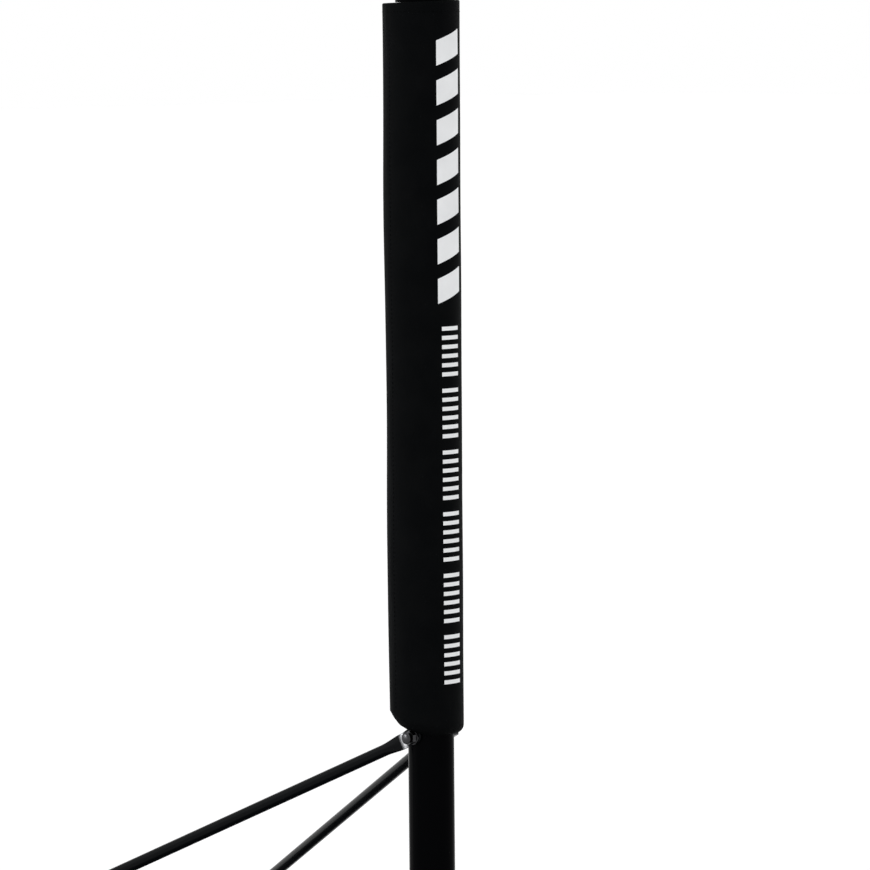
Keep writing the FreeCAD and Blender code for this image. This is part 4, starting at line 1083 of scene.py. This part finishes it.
def hitch(name, start, end, cord_r, eye, sleeve_r=None):
    """A cord's knotted end: a bight through an eye with wraps behind it, and turns round a sleeve."""
    away = (end - start).normalized()
    strand = cord_r * 0.9
    wrap_r = cord_r * 1.25
    pieces = [loop_of_cord("bight", eye, EYE_WIRE_R + cord_r + HITCH_EASE, cord_r * 0.92, UP)]
    for k in range(3):
        at = end - away * (HITCH_BACK + cord_r * 1.9 * k)
        pieces.append(loop_of_cord("wrap", at, wrap_r, strand, away, 20))
    if sleeve_r:
        for k in (-1, 1):
            at = start + UP * cord_r * k * 1.02 - away * sleeve_r
            pieces.append(loop_of_cord("turn", at, sleeve_r + strand, strand, UP))
        pieces.append(loop_of_cord("wrap", start + away * cord_r * 2.6, wrap_r, strand, away, 20))
    return join(pieces, name)


def eyes():
    """The middle of each eye's tip, where a cord passes round it, by side and from the bottom up."""
    found = {}
    for name, inward in (("left", 1), ("right", -1)):
        low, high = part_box(name + "_eyebolts")
        tip = high.x if inward > 0 else low.x
        bottom = low.z + EYE_R + EYE_WIRE_R
        top = high.z - EYE_R - EYE_WIRE_R
        heights = (bottom, (bottom + top) / 2, top)
        found[name] = [Vector((tip - inward * EYE_WIRE_R, 0, z)) for z in heights]
    return found


def eyebolts():
    """The eyebolts of both posts: a round eye, a shank through the pole and a hexagon nut behind."""
    for name, inward in (("left", 1), ("right", -1)):
        low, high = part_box(name + "_eyebolts")
        tip, tail = (high.x, low.x) if inward > 0 else (low.x, high.x)
        pieces = []
        for eye in eyes()[name]:
            centre = Vector((tip - inward * (EYE_R + EYE_WIRE_R), 0, eye.z))
            end = Vector((tail, 0, eye.z))
            pieces.append(loop_of_cord("eye", centre, EYE_R, EYE_WIRE_R, Vector((0, 1, 0)), 48))
            shank = [end, centre - Vector((inward * EYE_R, 0, 0))]
            pieces.append(tube_along("shank", shank, EYE_WIRE_R * 0.97, 24))
            nut_at = end + Vector((inward * (EYE_NUT / 2 + EYE_NUT_IN), 0, 0))
            bpy.ops.mesh.primitive_cylinder_add(vertices=6, radius=EYE_NUT_AF / math.sqrt(3),
                                                depth=EYE_NUT, location=nut_at,
                                                rotation=(0, math.pi / 2, 0))
            pieces.append(bevel(settle(named("nut")), 0.0005))
        bolts = dress(smooth(join(pieces, name + "_eyebolts_round")), SLOTS[name + "_eyebolts"])
        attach(bolts, frame["nodes"][name + "_eyebolts"]["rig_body"])
        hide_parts(name + "_eyebolts")


def ties():
    """The cords from the end bands to the two upper eyebolts of each post."""
    sleeve_low, sleeve_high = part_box("net_side_bands")
    pieces = []
    for name, side in (("left", -1), ("right", 1)):
        for eye in eyes()[name][1:]:
            start = Vector((sleeve_low.x if side < 0 else sleeve_high.x, 0, eye.z))
            end = eye - Vector((side * (EYE_WIRE_R * 2 + TIE_R * 1.5), 0, 0))
            points = [start.lerp(end, k / 12) for k in range(13)]
            pieces.append(tube_along("tie", points, TIE_R))
            pieces.append(hitch("knots", start, end, TIE_R, eye, ROD_R + CLOTH_THICK + HITCH_EASE))
    cords = dress(smooth(join(pieces, "net_ties_knotted"), 60), "rope_cord")
    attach(cords, "left_upright")
    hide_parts("net_ties")


def rope():
    """The rope of the bottom band, with its knots at the lowest eyebolts."""
    dress(finished("bottom_rope", 0), "rope_cord")
    for name, side in (("left", -1), ("right", 1)):
        eye = eyes()[name][0]
        end = eye - Vector((side * (EYE_WIRE_R * 2 + ROPE_R), 0, 0))
        piece = hitch("bottom_rope_knot", end - Vector((side, 0, 0)), end, ROPE_R * 0.85, eye)
        dress(smooth(piece, 60), "rope_cord")
        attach(piece, "left_upright")


def coil():
    """The turns of cable on the winch's drum."""
    low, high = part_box("cable_coil")
    centre = (low + high) / 2
    radius = (high.z - low.z) / 2 - CABLE_R
    span = high.y - low.y - 2 * CABLE_R
    turns = int(span / (2 * CABLE_R * 1.04))
    steps = 36
    points = []
    for k in range(turns * steps + 1):
        angle = 2 * math.pi * k / steps
        y = low.y + CABLE_R + span * k / (turns * steps)
        points.append(Vector((centre.x + radius * math.cos(angle), y,
                              centre.z + radius * math.sin(angle))))
    winding = dress(smooth(tube_along("cable_coil_wound", points, CABLE_R * 0.98, 10), 60), "cable_wire")
    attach(winding, frame["nodes"]["cable_coil"]["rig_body"])
    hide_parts("cable_coil")


def thimble():
    """The loop at the cable's far end and the sleeve that closes it, pressed on in three places."""
    low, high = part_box("cable_thimble")
    body = frame["nodes"]["cable_thimble"]["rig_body"]
    centre = Vector((high.x - THIMBLE_R - CABLE_R, 0, (low.z + high.z) / 2))
    loop = loop_of_cord("cable_loop", centre, THIMBLE_R, CABLE_R, Vector((0, 1, 0)), 64)
    dress(smooth(loop), "cable_wire")
    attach(loop, body)
    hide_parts("cable_thimble")
    reach = centre.x - THIMBLE_R - low.x
    rings = [(k / SLEEVE_STEPS, SLEEVE_R) for k in range(SLEEVE_STEPS + 1)]
    rings = [(0.0, 0.0)] + rings + [(1.0, 0.0)]
    last = len(rings) - 1

    def place(turn, run):
        share, radius = rings[round(run * last)]
        pressed = ease(2.2 - 5 * abs(3 * share % 1 - 0.5))
        rounded = min(1.0, 0.86 + 0.14 * min(share, 1 - share) * SLEEVE_STEPS / 2)
        angle = 2 * math.pi * turn
        return Vector((low.x + reach * share, radius * rounded * math.cos(angle) * (1 + 0.04 * pressed),
                       centre.z + radius * rounded * math.sin(angle) * (1 - 0.14 * pressed)))

    sleeve = wrapped("cable_sleeve", 36, last, place, (2 * math.pi * SLEEVE_R, reach))
    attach(dress(smooth(weld(sleeve, TIP_GAP), 50), "bright_steel"), body)


def bolt_crowns():
    """The shallow domes that forging leaves on the heads of the two long bolts."""
    low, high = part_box("strut_bolts")
    for name, side in (("left", -1), ("right", 1)):
        face = low.y if side < 0 else high.y
        spot = Vector((middle(name + "_outer_pole").x, face, (low.z + high.z) / 2))
        bpy.ops.mesh.primitive_uv_sphere_add(segments=32, ring_count=24, radius=1, location=spot)
        crown = named(name + "_bolt_crown")
        crown.scale = (CROWN_R, CROWN_RISE, CROWN_R)
        dress(smooth(settle(crown), 60), "bolt_steel")
        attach(crown, "stand")


def rigid_pieces():
    """Every rigid node with cleaned, rounded edges and its own finish."""
    for node in sorted(frame["nodes"]):
        if not any(word in node for word in MADE_ANEW):
            width = next((edge for word, edge in EDGES.items() if word in node), EDGE_R)
            dress(finished(node, width), SLOTS[node])


set_camera()
set_light()
set_floor()
pads()
braces()
bolt_crowns()
net()
long_band("net_top_band", CABLE_R, True)
long_band("net_bottom_band", ROPE_R, False)
end_bands()
eyebolts()
ties()
rope()
coil()
thimble()
rigid_pieces()
for node, solid in frame["nodes"].items():
    dress(solid, SLOTS[node])

bpy.context.scene.view_settings.view_transform = "Standard"
